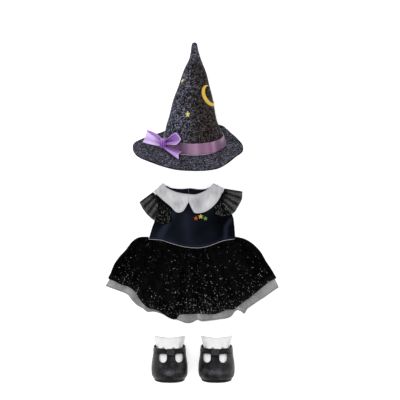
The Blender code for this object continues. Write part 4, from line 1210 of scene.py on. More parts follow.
@dataclass
class Skirt:
    """The gathered skirt's three layers: flattened tubes with flutes that fan out on top."""

    sewing: Sewing
    front_height: float = 9.0
    front_step: float = 1.9
    side_step: float = 1.6
    layer_step: float = 1.35
    cad_wall: float = 1.0
    fold_depths: tuple[float, float, float] = (3.5, 2.8, 1.6)
    flutes: float = 9.5
    valley: float = math.radians(3.2)
    apex: Point = (1.5, 28.0)
    spread: float = math.radians(44.0)
    reach: Point = (75.0, 190.0)
    at_waist: float = 0.5
    at_hem: float = 3.6
    lining_shorter: float = 9.0
    hem_places: tuple[float, float, float] = (135.0, -114.0, 58.0)

    def height(self, x: float, y: float) -> float:
        """Give the height of the outer layer's front: flutes, folds and small gathers."""
        right, down = x - self.apex[0], self.apex[1] - y
        angle = math.atan2(right, down)
        fade = max(1.0 - (abs(angle) / self.spread) ** 6, 0.0)
        near, far = self.reach
        opened = min(max((math.hypot(right, down) - near) / (far - near), 0.0), 1.0)
        deep = self.at_waist + (self.at_hem - self.at_waist) * opened
        wave = 0.5 - 0.5 * math.cos(math.pi * self.flutes * (angle - self.valley) / self.spread)
        gathers = 0.28 * math.cos(110.0 * angle) * (1.0 - smooth(opened * 3.2))
        small = 0.35 * wobble(9.0 * angle, 0.02 * down, 3.0) + 0.22 * wobble(26.0 * angle, 0.03 * down, 7.0)
        folds = sum(crease.at(x, y) for crease in SKIRT_CREASES)
        return self.front_height + (deep * wave + gathers + small + folds * (0.4 + 0.6 * opened)) * fade

    def reach_edge(self) -> Edge:
        """Give a smooth arc a little beyond every hem, on which the panels end."""
        half, top, deep = self.hem_places
        points = []
        for step in range(13):
            turn = math.pi * step / 12.0
            points.append((-half * math.cos(turn), top - deep * abs(math.sin(turn)) ** 1.5))
        return Edge(points)

    def panel(self, layer: int) -> tuple:
        """Lay out the flat part of a layer.

        Args:
            layer: Count of the layer from the outside.

        Returns:
            The panel between its folded sides, and the outer edges of those sides.
        """
        inset = layer * self.side_step
        depth = inset + self.fold_depths[layer]
        left, right = Edge(SKIRT_LEFT), Edge(SKIRT_RIGHT)
        left_fold, right_fold = left.shifted(depth), right.shifted(-depth)
        waist = [tuple(left_fold.at(0.0)), *WAIST[1:-1], tuple(right_fold.at(0.0))]
        panel = patch(Edge(waist), self.reach_edge(), left_fold, right_fold)
        return panel, left.shifted(inset), right.shifted(-inset)

    def hem_share(self, panel: Callable, across: float, hem: list[Point]) -> float:
        """Find how far down the panel a layer ends."""
        low, high = 0.4, 1.0
        for _ in range(18):
            middle = 0.5 * (low + high)
            spot = panel(across, middle)
            if spot.y > read(hem, spot.x)[0]:
                low = middle
            else:
                high = middle
        return low

    def ring(self, index: int, front: int, back: int, fold: int) -> tuple[Side, float, float]:
        """Go round a flattened tube by cell.

        Args:
            index: Cell corner, counted from the front's left end.
            front: Cells in the front.
            back: Cells in the back.
            fold: Cells in each folded side.

        Returns:
            Its side, its share along that side, and 1 on top or 0 below.
        """
        if index <= front:
            return Side.FRONT, index / front, 1.0
        index -= front
        if index <= fold:
            return Side.RIGHT_FOLD, index / fold, 0.5 + 0.5 * math.cos(math.pi * index / fold)
        index -= fold
        if index <= back:
            return Side.BACK, 1.0 - index / back, 0.0
        index -= back
        return Side.LEFT_FOLD, index / fold, 0.5 - 0.5 * math.cos(math.pi * index / fold)

    def make_layer(self, skirt: SkirtLayer) -> None:
        """Make one layer."""
        front, back, fold = skirt.front_cells, skirt.front_cells // 4, 8
        cells = front + back + 2 * fold
        low = self.cad_wall / 2.0 + skirt.layer * self.layer_step
        panel, left, right = self.panel(skirt.layer)
        hems: dict[float, float] = {}

        def place(around: float, down: float) -> Vector:
            side, share, raised = self.ring(round((around % 1.0) * cells), front, back, fold)
            across = {Side.RIGHT_FOLD: 1.0, Side.LEFT_FOLD: 0.0}.get(side, share)
            if across not in hems:
                hems[across] = self.hem_share(panel, across, skirt.hem)
            down *= hems[across]
            spot = panel(across, down)
            if side in (Side.RIGHT_FOLD, Side.LEFT_FOLD):
                outer = right if side is Side.RIGHT_FOLD else left
                spot = spot.lerp(outer.at(down), math.sin(math.pi * share))
            high = self.height(spot.x, spot.y) - skirt.layer * self.front_step
            return Vector((spot.x, spot.y, low + (high - low) * raised))

        def tone(around: float, down: float, spot: Vector) -> float:
            hem = 0.25 * smooth(down * 60.0 - 58.6)
            # the flutes' ridges raise the tone: denser net there, with painted highlight on the outer net and painted
            # shade on the petticoat through each net's lift
            stands = (self.height(spot.x, spot.y) - self.front_height) / self.at_hem
            angle = math.atan2(spot.x - self.apex[0], self.apex[1] - spot.y)
            pleat = 0.16 * wobble(20.0 * angle, 0.02 * spot.y, 1.0)
            return 0.40 + hem + 0.25 * stands + pleat

        self.sewing.sheet(skirt.name, (cells, skirt.rows), (560.0, 120.0), skirt.wall, place, [skirt.finish],
                          skirt.slot, [skirt.stands_for], tone, skirt.cut)

    def make_dots(self) -> None:
        """Scatter foil dots over the front of the outer layer, closest near the hem and the middle."""
        chance = random.Random(31)
        panel, _, _ = self.panel(0)
        dots = Dots(self.sewing, "skirt_foil_dots", "dotted_tulle")
        while dots.count < 700:
            across, down = chance.uniform(0.01, 0.99), chance.uniform(0.02, 0.985) ** 0.75
            hem = self.hem_share(panel, across, OVERLAY_HEM)
            spot = panel(across, min(down, 0.985) * hem)
            middle = math.exp(-(((spot.x - 12.0) / 46.0) ** 2))
            wanted = 0.05 + 0.95 * down**4 * (0.3 + 0.7 * middle) + 0.3 * middle**4 * down
            if chance.random() > wanted:
                continue
            soft = chance.random() < 0.26 + 0.2 * (1.0 - down)
            gold = chance.random() < 0.04
            size = chance.uniform(0.75, 1.15) if soft else chance.uniform(0.32, 0.66)
            # each dot's grey stands in for its glint: painted glint, random from dot to dot and fainter toward the
            # waist
            shine = chance.uniform(0.006, 0.02) if soft else chance.uniform(0.10, 0.70) ** 1.6
            shine *= 0.45 + 0.55 * down
            colour = (shine, shine * 0.86, shine * 0.5) if gold else (shine, shine, shine * 1.02)
            step = 1.0
            here = self.height(spot.x, spot.y)
            slope = Vector((self.height(spot.x + step, spot.y) - here, self.height(spot.x, spot.y + step) - here))
            dots.add(Vector((spot.x, spot.y, here + 0.5)), Vector((-slope.x, -slope.y, step)), size, colour, chance)
        dots.finish()

    def make(self) -> None:
        """Make the three layers and the dots."""
        lining_hem = [(x, y + self.lining_shorter) for x, y in OVERLAY_HEM]
        waist = ["skirt_lining_cloth"]
        layers = [
            SkirtLayer("skirt_overlay_net", "skirt_overlay", "skirt_net", "dotted_tulle", 0, 56, 240, OVERLAY_HEM,
                       0.45, Cut(0.56, 0.125, 0.62, Held.GATHERED, waist)),
            SkirtLayer("skirt_lining_cloth", "skirt_lining", "lining", "black_lining", 1, 36, 168, lining_hem,
                       0.5, Cut(0.54, 0.115, 0.60, Held.GATHERED, ["petticoat_net"])),
            SkirtLayer("petticoat_net", "petticoat", "petticoat_net", "grey_tulle", 2, 56, 240, PETTICOAT_HEM,
                       0.45, Cut(0.58, 0.135, 0.62, Held.GATHERED, [])),
        ]
        for layer in layers:
            self.make_layer(layer)
        self.make_dots()


@dataclass
class Dots:
    """Many small foil dots in one mesh, each a low dome of a few faces."""

    sewing: Sewing
    name: str
    slot: str
    sides: int = 8
    thickness: float = 0.12

    def __post_init__(self) -> None:
        """Start the mesh."""
        self.shape = bmesh.new()
        self.foil = self.shape.verts.layers.float_color.new("foil")
        self.count = 0

    def add(self, spot: Vector, normal: Vector, size: float, colour: Colour, chance: random.Random) -> None:
        """Lay a dot.

        Args:
            spot: Its middle on the cloth, in layout millimetres.
            normal: The cloth's normal there.
            size: Its radius in millimetres.
            colour: Its colour.
            chance: Source of its small tilt.
        """
        normal = normal.normalized()
        normal += Vector((chance.uniform(-0.12, 0.12), chance.uniform(-0.12, 0.12), 0.0))
        made = bmesh.ops.create_cone(self.shape, cap_ends=True, cap_tris=True, segments=self.sides, radius1=size,
                                     radius2=size * 0.6, depth=self.thickness)["verts"]
        turn = normal.to_track_quat("Z", "Y")
        for vertex in made:
            vertex.co = to_metres(spot + turn @ vertex.co)
            vertex[self.foil] = (*colour, 1.0)
        self.count += 1

    def finish(self) -> None:
        """Make the piece."""
        self.sewing.piece(self.name, self.shape, ["foil"], self.slot, [])


@dataclass
class Bodice:
    """The velvet bodice, the collar's halves, the flutter sleeves and the stars on the chest."""

    sewing: Sewing
    side_height: float = 3.8
    rise: float = 2.9
    back_height: float = 2.15
    velvet: float = 1.2
    collar: float = 1.2
    tulle: float = 1.0
    waist_seam: float = 0.7
    back_opening: float = 0.0012
    collar_fold: float = 3.2
    sleeve_fold: float = 3.0
    pleats: float = 6.0
    pleat_height: float = 1.8
    flat_share: float = 0.4

    def height(self, x: float, y: float) -> float:
        """Give the height of the front's middle surface."""
        left, right = read(BODICE_SPREAD, y)
        side = min(max(2.0 * (x - left) / (right - left) - 1.0, -1.0), 1.0)
        folds = sum(crease.at(x, y) for crease in BODICE_CREASES) * (1.0 - side**6)
        folds += 0.25 * wobble(x * 0.06, y * 0.06, 5.0)
        return self.side_height + self.rise * (1.0 - side**4) + folds

    def make_panels(self) -> None:
        """Make the front and the two backs, which meet at the centre opening."""
        inner = [(x, y + self.waist_seam) for x, y in WAIST[1:-1]]
        waist = Edge([BODICE_LEFT[0], *inner, BODICE_RIGHT[0]])
        left, right = Edge(BODICE_LEFT), Edge(BODICE_RIGHT)
        front = patch(waist, Edge(FRONT_TOP), left, right)
        back = patch(waist, Edge(BACK_TOP), left, right)

        def place_front(across: float, up: float) -> Vector:
            spot = front(across, up)
            turned_edge = 0.55 * math.exp(-(((up - 0.022) / 0.018) ** 2))
            return Vector((spot.x, spot.y, self.height(spot.x, spot.y) + turned_edge))

        def tone(across: float, up: float, spot: Vector) -> float:
            # painted light and shade: sheen along the folds' ridges and along the turned edge at the waist, shade at
            # the left side and toward the right
            fold_sheen = sum(crease.at(spot.x - 1.0, spot.y + 1.0) for crease in BODICE_CREASES)
            dark = math.exp(-(((spot.x + 47.0) / 9.0) ** 2)) * smooth((spot.y + 30.0) / 20.0)
            turned_edge = 0.35 * math.exp(-(((up - 0.024) / 0.02) ** 2))
            right = 0.2 * smooth((spot.x - 24.0) / 20.0)
            broad = 0.25 * wobble(spot.x * 0.035, spot.y * 0.035, 2.0)
            return 0.28 + 0.95 * fold_sheen + turned_edge - 0.2 * dark - right + broad

        cut = Cut(0.13, 0.093, 0.78, Held.LAID, ["bodice_back_left_velvet", "bodice_back_right_velvet"])
        self.sewing.sheet("bodice_front_velvet", (132, 96), (130.0, 92.0), self.velvet, place_front, ["velvet"],
                          "velvet", ["bodice_front"], tone, cut)
        half = 0.5 - self.back_opening / 2.0
        for side, start in (("left", 0.0), ("right", 1.0 - half)):

            def place_back(across: float, up: float, start: float = start) -> Vector:
                spot = back(start + across * half, up)
                return Vector((spot.x, spot.y, self.back_height + 0.15 * wobble(spot.x * 0.1, spot.y * 0.1, 1.0)))

            cut = Cut(0.07, 0.093, 0.78, Held.LAID, [])
            self.sewing.sheet(f"bodice_back_{side}_velvet", (48, 48), (65.0, 92.0), self.velvet, place_back,
                              ["velvet"], "velvet", [f"bodice_back_{side}"], None, cut)

    def fold(self, share: float, edge: float) -> tuple[float, float]:
        """Follow a strip that folds over the shoulder: how far along it is, and 1 in front or 0 behind."""
        if share <= self.flat_share:
            return edge * share / self.flat_share, 1.0
        if share >= 1.0 - self.flat_share:
            return edge * (1.0 - share) / self.flat_share, 0.0
        turn = math.pi * (share - self.flat_share) / (1.0 - 2.0 * self.flat_share)
        return edge + (1.0 - edge) * math.sin(turn), 0.5 + 0.5 * math.cos(turn)

    def make_collar(self, side: str, edges: tuple[list[Point], list[Point]]) -> None:
        """Make half of the collar, with a turned edge and soft creases."""
        neck, edge = Edge(edges[0]), Edge(edges[1])
        fold = 1.0 - self.collar_fold / (0.5 * (neck.length + edge.length))
        back = self.collar / 2.0
        above = (self.velvet + self.collar) / 2.0 + SEAM

        def place(across: float, along: float) -> Vector:
            reach, raised = self.fold(across, fold)
            spot = neck.at(reach).lerp(edge.at(reach), along)
            front = self.height(spot.x, spot.y) + above
            front += 0.45 * math.exp(-(((along - 0.07) / 0.07) ** 2))
            front += 0.45 * max(wobble(spot.x * 0.11, spot.y * 0.11, 9.0), -0.2) * math.sin(math.pi * along)
            front += 0.35 * smooth(along * 4.0 - 3.0)
            return Vector((spot.x, spot.y, back + (front - back) * raised))

        def tone(across: float, along: float, spot: Vector) -> float:
            # painted light and shade of soft creases
            crease = 0.7 * wobble(spot.x * 0.05, spot.y * 0.05, 9.0) + 0.3 * wobble(spot.x * 0.25, spot.y * 0.12, 4.0)
            seam = -0.22 * math.exp(-(((along - 0.93) / 0.022) ** 2))
            return 0.62 + crease * math.sin(math.pi * along) + seam

        cut = Cut(0.14, 0.030, 0.72, Held.LAID, ["bodice_front_velvet"])
        self.sewing.sheet(f"collar_{side}_knit", (132, 30), (120.0, 24.0), self.collar, place, ["collar_knit"],
                          "collar_knit", [f"collar_{side}"], tone, cut)

    def sleeve_surface(self, edges: tuple[list[Point], list[Point]]) -> Callable[[float, float], tuple]:
        """Lay out a sleeve: from share across and along to its place, its pleat wave and its side."""
        seam, hem = Edge(edges[0]), Edge(edges[1])
        fold = 1.0 - self.sleeve_fold / (0.5 * (seam.length + hem.length))
        back = self.tulle / 2.0
        above = (self.velvet + self.tulle) / 2.0 + SEAM

        def surface(across: float, along: float) -> tuple:
            reach, raised = self.fold(across, fold)
            spot = seam.at(reach).lerp(hem.at(reach), along)
            wave = 0.5 - 0.5 * math.cos(FULL_TURN * self.pleats * reach)
            fine = 0.5 - 0.5 * math.cos(FULL_TURN * 4.0 * self.pleats * reach + 3.0 * along)
            front = self.height(spot.x, spot.y) + above
            front += self.pleat_height * wave * along + 0.4 * fine * math.sin(math.pi * along) ** 0.5
            front += 0.5 * smooth(1.0 - along * 5.0) * fine
            return Vector((spot.x, spot.y, back + (front - back) * raised)), wave, fine, raised

        return surface

    def make_sleeve(self, side: str, edges: tuple[list[Point], list[Point]], seed: int) -> None:
        """Make a flutter sleeve of pleated, see-through tulle with foil dots at its bunched end."""
        surface = self.sleeve_surface(edges)

        def place(across: float, along: float) -> Vector:
            return surface(across, along)[0]

        def tone(across: float, along: float, spot: Vector) -> float:
            _, wave, fine, raised = surface(across, along)
            reach, _ = self.fold(across, 0.95)
            bunch = 0.65 * (1.0 - smooth(reach * 2.1))
            seam = 0.5 * (1.0 - smooth(along * 2.6))
            # painted shade in the pleats' valleys; at the bunched end and by the seam the net is denser and painted
            # darker
            pleat = 0.36 * (1.0 - wave) ** 3 + 0.18 * (1.0 - fine) ** 2
            return 0.37 + bunch + seam * 0.7 + pleat * (1.0 - 0.6 * smooth(along * 6.0 - 5.0))

        cut = Cut(0.165, 0.028, 0.80, Held.GATHERED, ["bodice_front_velvet"])
        self.sewing.sheet(f"sleeve_{side}_net", (240, 30), (200.0, 24.0), 0.4, place, ["sleeve_net"],
                          "dotted_tulle", [f"sleeve_{side}"], tone, cut)
        chance = random.Random(seed)
        dots = Dots(self.sewing, f"sleeve_{side}_foil_dots", "dotted_tulle")
        while dots.count < 100:
            across = chance.uniform(0.01, 0.40) if chance.random() < 0.4 else chance.uniform(0.01, 0.18)
            spot = place(across, chance.uniform(0.12, 0.96))
            # each dot's grey stands in for its glint: painted glint, random from dot to dot
            shine = chance.uniform(0.06, 0.5) ** 1.6
            colour = (shine, shine, shine)
            dots.add(spot + Vector((0.0, 0.0, 0.4)), Vector((0.0, 0.0, 1.0)), chance.uniform(0.3, 0.55), colour, chance)
        dots.finish()

    def make_stars(self) -> None:
        """Stitch three small plain stars on the chest."""
        for name, finish, x, y, size in (
            ("chest_star_left", "orange_thread", 7.2, -8.6, 3.6),
            ("chest_star_middle", "yellow_thread", 14.4, -6.0, 4.2),
            ("chest_star_right", "green_thread", 21.4, -8.8, 3.4),
        ):

            def ground(right: float, up: float, raised: float, x: float = x, y: float = y) -> Vector:
                here = Vector((x + right, y + up))
                return Vector((here.x, here.y, self.height(here.x, here.y) + self.velvet / 2.0 + 0.25 + raised))

            star(self.sewing, name, finish, "velvet", size, ground)

    def make(self) -> None:
        """Make the bodice and all that is sewn to it."""
        self.make_panels()
        self.make_collar("left", COLLAR_LEFT)
        self.make_collar("right", COLLAR_RIGHT)
        self.make_sleeve("left", SLEEVE_LEFT, 5)
        self.make_sleeve("right", SLEEVE_RIGHT, 6)
        self.make_stars()


# Along the shoe, half width, front and back
SOLE_FORM = [(0.0, 21.5, 31.5, -37.0), (1.2, 22.6, 32.6, -37.0), (5.0, 23.4, 33.4, -36.4)]
UPPER_FORM = [
    (5.3, 23.6, 33.6, -35.4), (9.0, 25.6, 35.8, -36.1), (16.0, 26.5, 36.4, -36.1), (24.0, 26.2, 34.4, -35.9),
    (31.0, 25.2, 29.5, -35.5), (38.0, 24.2, 22.0, -35.2), (45.0, 23.3, 14.0, -35.0), (53.0, 22.3, 6.0, -34.8),
]
SOCK_FORM = [
    (7.0, 19.0, 27.0, -29.0), (12.0, 23.2, 32.6, -33.4), (22.0, 24.0, 31.8, -33.8), (30.0, 23.2, 26.6, -33.5),
    (38.0, 22.0, 18.4, -33.1), (46.0, 19.4, 8.6, -31.8), (54.0, 17.4, 5.0, -31.4), (60.0, 18.6, 4.2, -34.6),
    (66.0, 20.4, 3.6, -37.8),
]
FRILL_FORM = [
    (47.0, 19.8, 11.6, -31.6), (49.6, 19.6, 10.0, -32.8), (54.0, 19.8, 8.8, -35.6), (60.0, 21.6, 7.8, -39.4),
    (66.8, 23.6, 7.0, -43.7),
]


@dataclass
class Shoe:
    """A strap shoe on its back with its frilled sock, seen in the shoe's own axes."""

    sewing: Sewing
    side: str
    middle: float
    turn: float
    lean: float = math.radians(6.0)
    line: float = -251.3
    half_length: float = 37.0
    roundness: float = 2.3
    leather: float = 1.5
    strap: float = 1.2
    sock: float = 1.0
    upper_top: float = 50.5
    upper_slope: float = 2.0
    strap_from: float = 43.0
    strap_to: float = 49.0
    strap_reach: float = math.radians(100.0)
    vamp_slope: float = 1.65
    opening_low: float = 30.2
    opening_high: float = 42.2
    opening_width: float = 11.6
    openings_apart: float = 24.4
    openings_shift: float = 2.4
    cuff_dip: float = 4.6
    rim_dip: float = 2.4
    strap_clear: float = 2.1

    def frame(self, across: float, along: float, out: float) -> Vector:
        """Give a place from the shoe's axes: across, up the leg and out toward the toe."""
        sine, cosine = math.sin(self.lean), math.cos(self.lean)
        return Vector((
            self.middle + across,
            self.line + along * cosine - out * sine,
            self.half_length * cosine + out * cosine + along * sine,
        ))

    def section(self, form: list[tuple], azimuth: float, along: float, grow: float = 0.0, grow_out: float = 0.0) -> Point:
        """Give across and out on a rounded section, azimuth 0 at the toe.

        Args:
            form: Half width, front and back by the place along the shoe.
            azimuth: Turn from the toe.
            along: Place along the shoe.
            grow: Distance added to the half width and to the front and back.
            grow_out: Distance added to the front and back only.

        Returns:
            Across and out.
        """
        half, front, back = read(form, along)
        power = 2.0 / self.roundness
        sine, cosine = math.sin(azimuth), math.cos(azimuth)
        across = (half + grow) * math.copysign(abs(sine) ** power, sine)
        deep = 0.5 * (front - back) + grow + grow_out
        return across, 0.5 * (front + back) + deep * math.copysign(abs(cosine) ** power, cosine)

    def make_sole(self) -> None:
        """Make the sole with a rounded rim and a shallow welt groove."""
        shape = bmesh.new()
        bmesh.ops.create_circle(shape, segments=96, radius=1.0)
        tones = shape.verts.layers.float.new("tone")
        rings = [(0.0, -6.0), (0.0, -1.2), (0.3, -0.4), (1.0, 0.0), (2.4, 0.0), (3.0, -0.35), (3.6, 0.0), (5.0, 0.0)]
        ring = sorted(shape.verts, key=lambda vertex: math.atan2(vertex.co.x, vertex.co.y))
        edges = list(shape.edges)
        azimuths = [math.atan2(vertex.co.x, vertex.co.y) for vertex in ring]
        for number, (along, grow) in enumerate(rings):
            if number:
                made = bmesh.ops.extrude_edge_only(shape, edges=edges)["geom"]
                edges = [item for item in made if isinstance(item, bmesh.types.BMEdge)]
                edges = [edge for edge in edges if all(len(v.link_faces) <= 2 for v in edge.verts)]
                links = {vertex: other for vertex in ring for edge in vertex.link_edges
                         for other in [edge.other_vert(vertex)] if other in {v for e in edges for v in e.verts}}
                ring = [links[vertex] for vertex in ring]
            for vertex, azimuth in zip(ring, azimuths):
                across, out = self.section(SOLE_FORM, azimuth, along, grow)
                vertex.co = to_metres(self.frame(across, along, out))
                vertex[tones] = 0.5
        bmesh.ops.holes_fill(shape, edges=[edge for edge in shape.edges if edge.is_boundary], sides=0)
        shape.normal_update()
        bmesh.ops.recalc_face_normals(shape, faces=shape.faces)
        self.sewing.piece(f"shoe_{self.side}_sole_rubber", shape, ["sole_rubber"], "sole_rubber",
                          [f"shoe_{self.side}_sole"])

    def cutter(self, middle: float) -> object:
        """Make the prism that cuts an opening with a flat top and a round bottom."""
        radius, corner = self.opening_width / 2.0, 1.4
        outline = []
        for step in range(5):
            turn = 0.5 * math.pi * step / 4.0
            outline.append((radius - corner + corner * math.sin(turn), self.opening_high - corner + corner * math.cos(turn)))
        for step in range(25):
            turn = math.pi * step / 24.0
            outline.append((radius * math.cos(turn), self.opening_low + radius - radius * math.sin(turn)))
        for step in range(5):
            turn = 0.5 * math.pi * step / 4.0
            outline.append((-radius + corner - corner * math.cos(turn), self.opening_high - corner + corner * math.sin(turn)))
        shape = bmesh.new()
        base = shape.faces.new([shape.verts.new(to_metres(self.frame(middle + x, y, 2.0))) for x, y in outline])
        made = bmesh.ops.extrude_face_region(shape, geom=[base])["geom"]
        push = to_metres(self.frame(0.0, 0.0, 46.0)) - to_metres(self.frame(0.0, 0.0, 2.0))
        bmesh.ops.translate(shape, vec=push, verts=[item for item in made if isinstance(item, bmesh.types.BMVert)])
        shape.normal_update()
        bmesh.ops.recalc_face_normals(shape, faces=shape.faces)
        mesh = bpy.data.meshes.new("opening")
        shape.to_mesh(mesh)
        shape.free()
        cutter = bpy.data.objects.new("opening", mesh)
        bpy.context.scene.collection.objects.link(cutter)
        return cutter

    def make_upper(self) -> None:
        """Make the leather upper with its two openings and stitched rim."""
        low = UPPER_FORM[0][0]

        def place(around: float, up: float) -> Vector:
            azimuth = FULL_TURN * (around % 1.0)
            top = self.upper_top - self.upper_slope * math.cos(azimuth)
            along = low + (top - low) * up
            soft = 0.25 * wobble(2.0 * math.sin(azimuth), 2.0 * math.cos(azimuth), along * 0.09)
            rim = 0.35 * math.exp(-(((up - 0.985) / 0.02) ** 2)) - 0.2 * math.exp(-(((up - 0.94) / 0.012) ** 2))
            across, out = self.section(UPPER_FORM, azimuth, along, soft + rim)
            return self.frame(across, along, out)

        def tone(around: float, up: float, spot: Vector) -> float:
            azimuth = FULL_TURN * around
            # painted highlight on the toe
            toe = math.exp(-(((up - 0.24) / 0.13) ** 2)) * max(math.cos(azimuth), 0.0) ** 4
            return 0.40 + 0.45 * toe**2 + 0.4 * wobble(spot.x * 0.1, spot.y * 0.1, spot.z * 0.1)

        name = f"shoe_{self.side}_upper_leather"
        upper = self.sewing.sheet(name, (144, 48), (160.0, 50.0), self.leather, place, ["shoe_leather"],
                                  "black_leather", [f"shoe_{self.side}_upper"], tone)
        cutters = []
        for side in (-0.5, 0.5):
            cutters.append(self.cutter(self.turn * self.openings_shift + side * self.openings_apart))
            hole = upper.modifiers.new("opening", "BOOLEAN")
            hole.operation = "DIFFERENCE"
            hole.object = cutters[-1]
        bpy.context.view_layer.update()
        graph = bpy.context.evaluated_depsgraph_get()
        cut = bpy.data.meshes.new_from_object(upper.evaluated_get(graph), depsgraph=graph)
        upper.modifiers.clear()
        upper.data = cut
        cut.name = name
        for cutter in cutters:
            bpy.data.objects.remove(cutter)

    def make_strap(self) -> None:
        """Make the strap over the vamp and the loop that holds it to the centre bar."""
        grow = (self.leather + self.strap) / 2.0 + SEAM

        def place(across: float, up: float) -> Vector:
            azimuth = self.strap_reach * (2.0 * across - 1.0)
            along = self.strap_from + (self.strap_to - self.strap_from) * up
            crown = 0.2 * math.sin(math.pi * up) - 1.25 * smooth((abs(2.0 * across - 1.0) - 0.35) / 0.4)
            side, out = self.section(UPPER_FORM, azimuth, along, grow + crown, grow * (self.vamp_slope - 1.0))
            return self.frame(side, along, out)

        self.sewing.sheet(f"shoe_{self.side}_strap_leather", (120, 8), (90.0, 6.0), self.strap, place,
                          ["strap_leather"], "black_leather", [f"shoe_{self.side}_strap"],
                          lambda across, up, spot: 0.42 + 0.2 * wobble(spot.x * 0.2, spot.y * 0.2, 0.0))

        def place_loop(across: float, up: float) -> Vector:
            azimuth = 0.17 * (2.0 * across - 1.0) + 0.06 * self.turn
            along = self.strap_from - 2.2 + (self.strap_to - self.strap_from + 2.4) * up
            lift = grow + 1.25 + 0.3 * math.sin(math.pi * up)
            side, out = self.section(UPPER_FORM, azimuth, along, lift, grow * (self.vamp_slope - 1.0) + 0.8)
            return self.frame(side, along, out)

        self.sewing.sheet(f"shoe_{self.side}_strap_loop", (24, 12), (10.0, 7.0), 0.9, place_loop,
                          ["shoe_leather"], "black_leather", [], lambda across, up, spot: 0.62)

    def rim_drop(self, azimuth: float) -> float:
        """Give how far the rim of sock and cuff lies below its corners."""
        back = (0.5 - 0.5 * math.cos(azimuth)) ** 2
        return self.cuff_dip * back + self.rim_dip * math.cos(azimuth) ** 2

    def make_sock(self) -> None:
        """Make the sock in the shoe and its frilled, scalloped cuff."""
        low, rows = SOCK_FORM[0][0], 48

        def place(around: float, up: float) -> Vector:
            azimuth = FULL_TURN * (around % 1.0)
            closed = min(up * rows / 4.0, 1.0)
            high = SOCK_FORM[-1][0] - self.rim_drop(azimuth)
            along = low + (high - low) * max(up - 4.0 / rows, 0.0) / (1.0 - 4.0 / rows)
            ribs = 0.12 * math.cos(48.0 * azimuth) * smooth((along - 44.0) / 8.0)
            across, out = self.section(SOCK_FORM, azimuth, along, ribs)
            return self.frame(across * closed, along, out * closed)

        cut = Cut(0.150, 0.085, 0.75, Held.STRETCHED, [f"shoe_{self.side}_upper_leather"])
        # the sock's high tone is painted light, lifting it where it shows in the shade of the openings
        self.sewing.sheet(f"sock_{self.side}_knit", (96, rows), (140.0, 75.0), self.sock * 0.8, place, ["sock_knit"],
                          "white_knit", [f"sock_{self.side}"], lambda across, up, spot: 0.92, cut)

        cuff = FRILL_FORM[-1][0]

        def place_frill(around: float, up: float) -> Vector:
            azimuth = FULL_TURN * (around % 1.0)
            front = max(math.cos(azimuth), 0.0) ** 0.35
            foot = self.upper_top - self.upper_slope * math.cos(azimuth) + 1.2
            scallop = abs(math.cos(4.5 * azimuth + 0.4 * self.turn))
            foot -= front * (3.4 * scallop**0.6 - 2.2)
            top = cuff - self.rim_drop(azimuth)
            top += 0.5 * wobble(2.2 * math.sin(azimuth), 2.2 * math.cos(azimuth), self.turn)
            along = foot + (top - foot) * up
            gather = 0.28 * math.cos(46.0 * azimuth) * math.exp(-(((up - 0.55) / 0.3) ** 2))
            flute = 0.5 * math.cos(9.0 * azimuth + 0.8 * self.turn) * (1.0 - 0.5 * up)
            pucker = -0.5 * math.exp(-(((up - 0.86) / 0.05) ** 2))
            across, out = self.section(FRILL_FORM, azimuth, foot + (cuff - foot) * up, gather + flute + pucker)
            _, over = self.section(UPPER_FORM, azimuth, along, self.strap_clear, self.strap_clear)
            out += max(over - out, 0.0) * front * (1.0 - smooth((along - 48.0) / 7.0))
            floor = (self.sock / 2.0 - along * math.sin(self.lean)) / math.cos(self.lean) - self.half_length
            return self.frame(across, along, max(out, floor))

        def tone_frill(around: float, up: float, spot: Vector) -> float:
            # painted shade: darker lines in the pucker's groove and where the frill meets the shoe
            line = -0.10 * math.exp(-(((up - 0.86) / 0.05) ** 2)) - 0.06 * math.exp(-(((up - 0.08) / 0.03) ** 2))
            return 0.70 + line + 0.12 * wobble(spot.x * 0.15, spot.y * 0.15, spot.z * 0.15)

        cut = Cut(0.150, 0.022, 0.85, Held.GATHERED, [f"sock_{self.side}_knit"])
        self.sewing.sheet(f"sock_{self.side}_frill_knit", (276, 24), (150.0, 20.0), self.sock * 0.7, place_frill,
                          ["sock_knit"], "white_knit", [f"sock_{self.side}_frill"], tone_frill, cut)

    def make(self) -> None:
        """Make the shoe and its sock."""
        self.make_sole()
        self.make_upper()
        self.make_strap()
        self.make_sock()


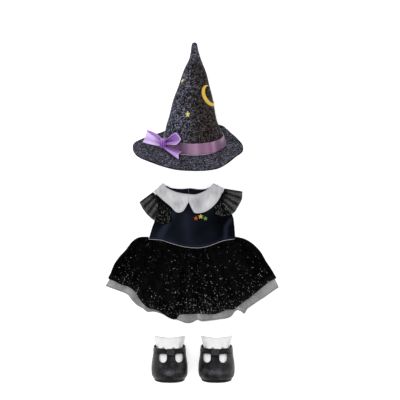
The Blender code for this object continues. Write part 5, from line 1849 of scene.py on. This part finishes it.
@dataclass
class Studio:
    """Pale floor, soft light and the camera straight above."""

    sewing: Sewing
    centre: Point = (13.35, 18.75)
    frame_width: float = 0.6
    lens: float = 900.0
    sensor: float = 36.0
    floor_size: float = 6.0
    world_light: float = 0.9
    key_light: float = 1.3
    key_angle: float = math.radians(50.0)

    def make_camera(self) -> None:
        """Look straight down with a long lens."""
        camera = bpy.data.cameras.new("camera")
        camera.lens = self.lens
        camera.sensor_width = self.sensor
        camera.clip_end = 50.0
        above = bpy.data.objects.new("camera", camera)
        above.location = to_metres(Vector((*self.centre, 0.0)))
        above.location.z = self.frame_width * self.lens / self.sensor
        bpy.context.scene.collection.objects.link(above)
        bpy.context.scene.camera = above

    def make_light(self) -> None:
        """Light from all round, with a broad soft light from above and a little to the left."""
        world = bpy.data.worlds.new("studio")
        world.use_nodes = True
        background = world.node_tree.nodes["Background"]
        background.inputs["Color"].default_value = (1.0, 1.0, 1.0, 1.0)
        background.inputs["Strength"].default_value = self.world_light
        bpy.context.scene.world = world
        key = bpy.data.lights.new("key", "SUN")
        key.energy = self.key_light
        key.angle = self.key_angle
        lamp = bpy.data.objects.new("key", key)
        lamp.rotation_euler = Vector((-0.16, 0.2, 1.0)).to_track_quat("Z", "Y").to_euler()
        bpy.context.scene.collection.objects.link(lamp)

    def make_floor(self) -> None:
        """Lay the floor just under the costume."""
        shape = bmesh.new()
        bmesh.ops.create_grid(shape, x_segments=1, y_segments=1, size=self.floor_size / 2.0)
        bmesh.ops.translate(shape, vec=(0.0, 0.0, -0.05 * MM), verts=shape.verts)
        mesh = bpy.data.meshes.new("floor")
        shape.to_mesh(mesh)
        shape.free()
        mesh.materials.append(self.sewing.finishes["floor_board"])
        floor = bpy.data.objects.new("floor", mesh)
        bpy.context.scene.collection.objects.link(floor)

    def make(self) -> None:
        """Make the studio."""
        self.make_camera()
        self.make_light()
        self.make_floor()
        bpy.context.scene.view_settings.view_transform = "Standard"


def main() -> None:
    """Load the frame and build the costume around it."""
    logging.basicConfig(level=logging.INFO, format="%(message)s")
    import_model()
    sewing = Sewing()
    Studio(sewing).make()
    hat = Hat(sewing)
    hat.make()
    Bow(sewing, hat).make()
    Skirt(sewing).make()
    Bodice(sewing).make()
    for side, middle, turn in (("left", -32.2, 1.0), ("right", 38.1, -1.0)):
        Shoe(sewing, side, middle, turn).make()


if __name__ == "__main__":
    main()
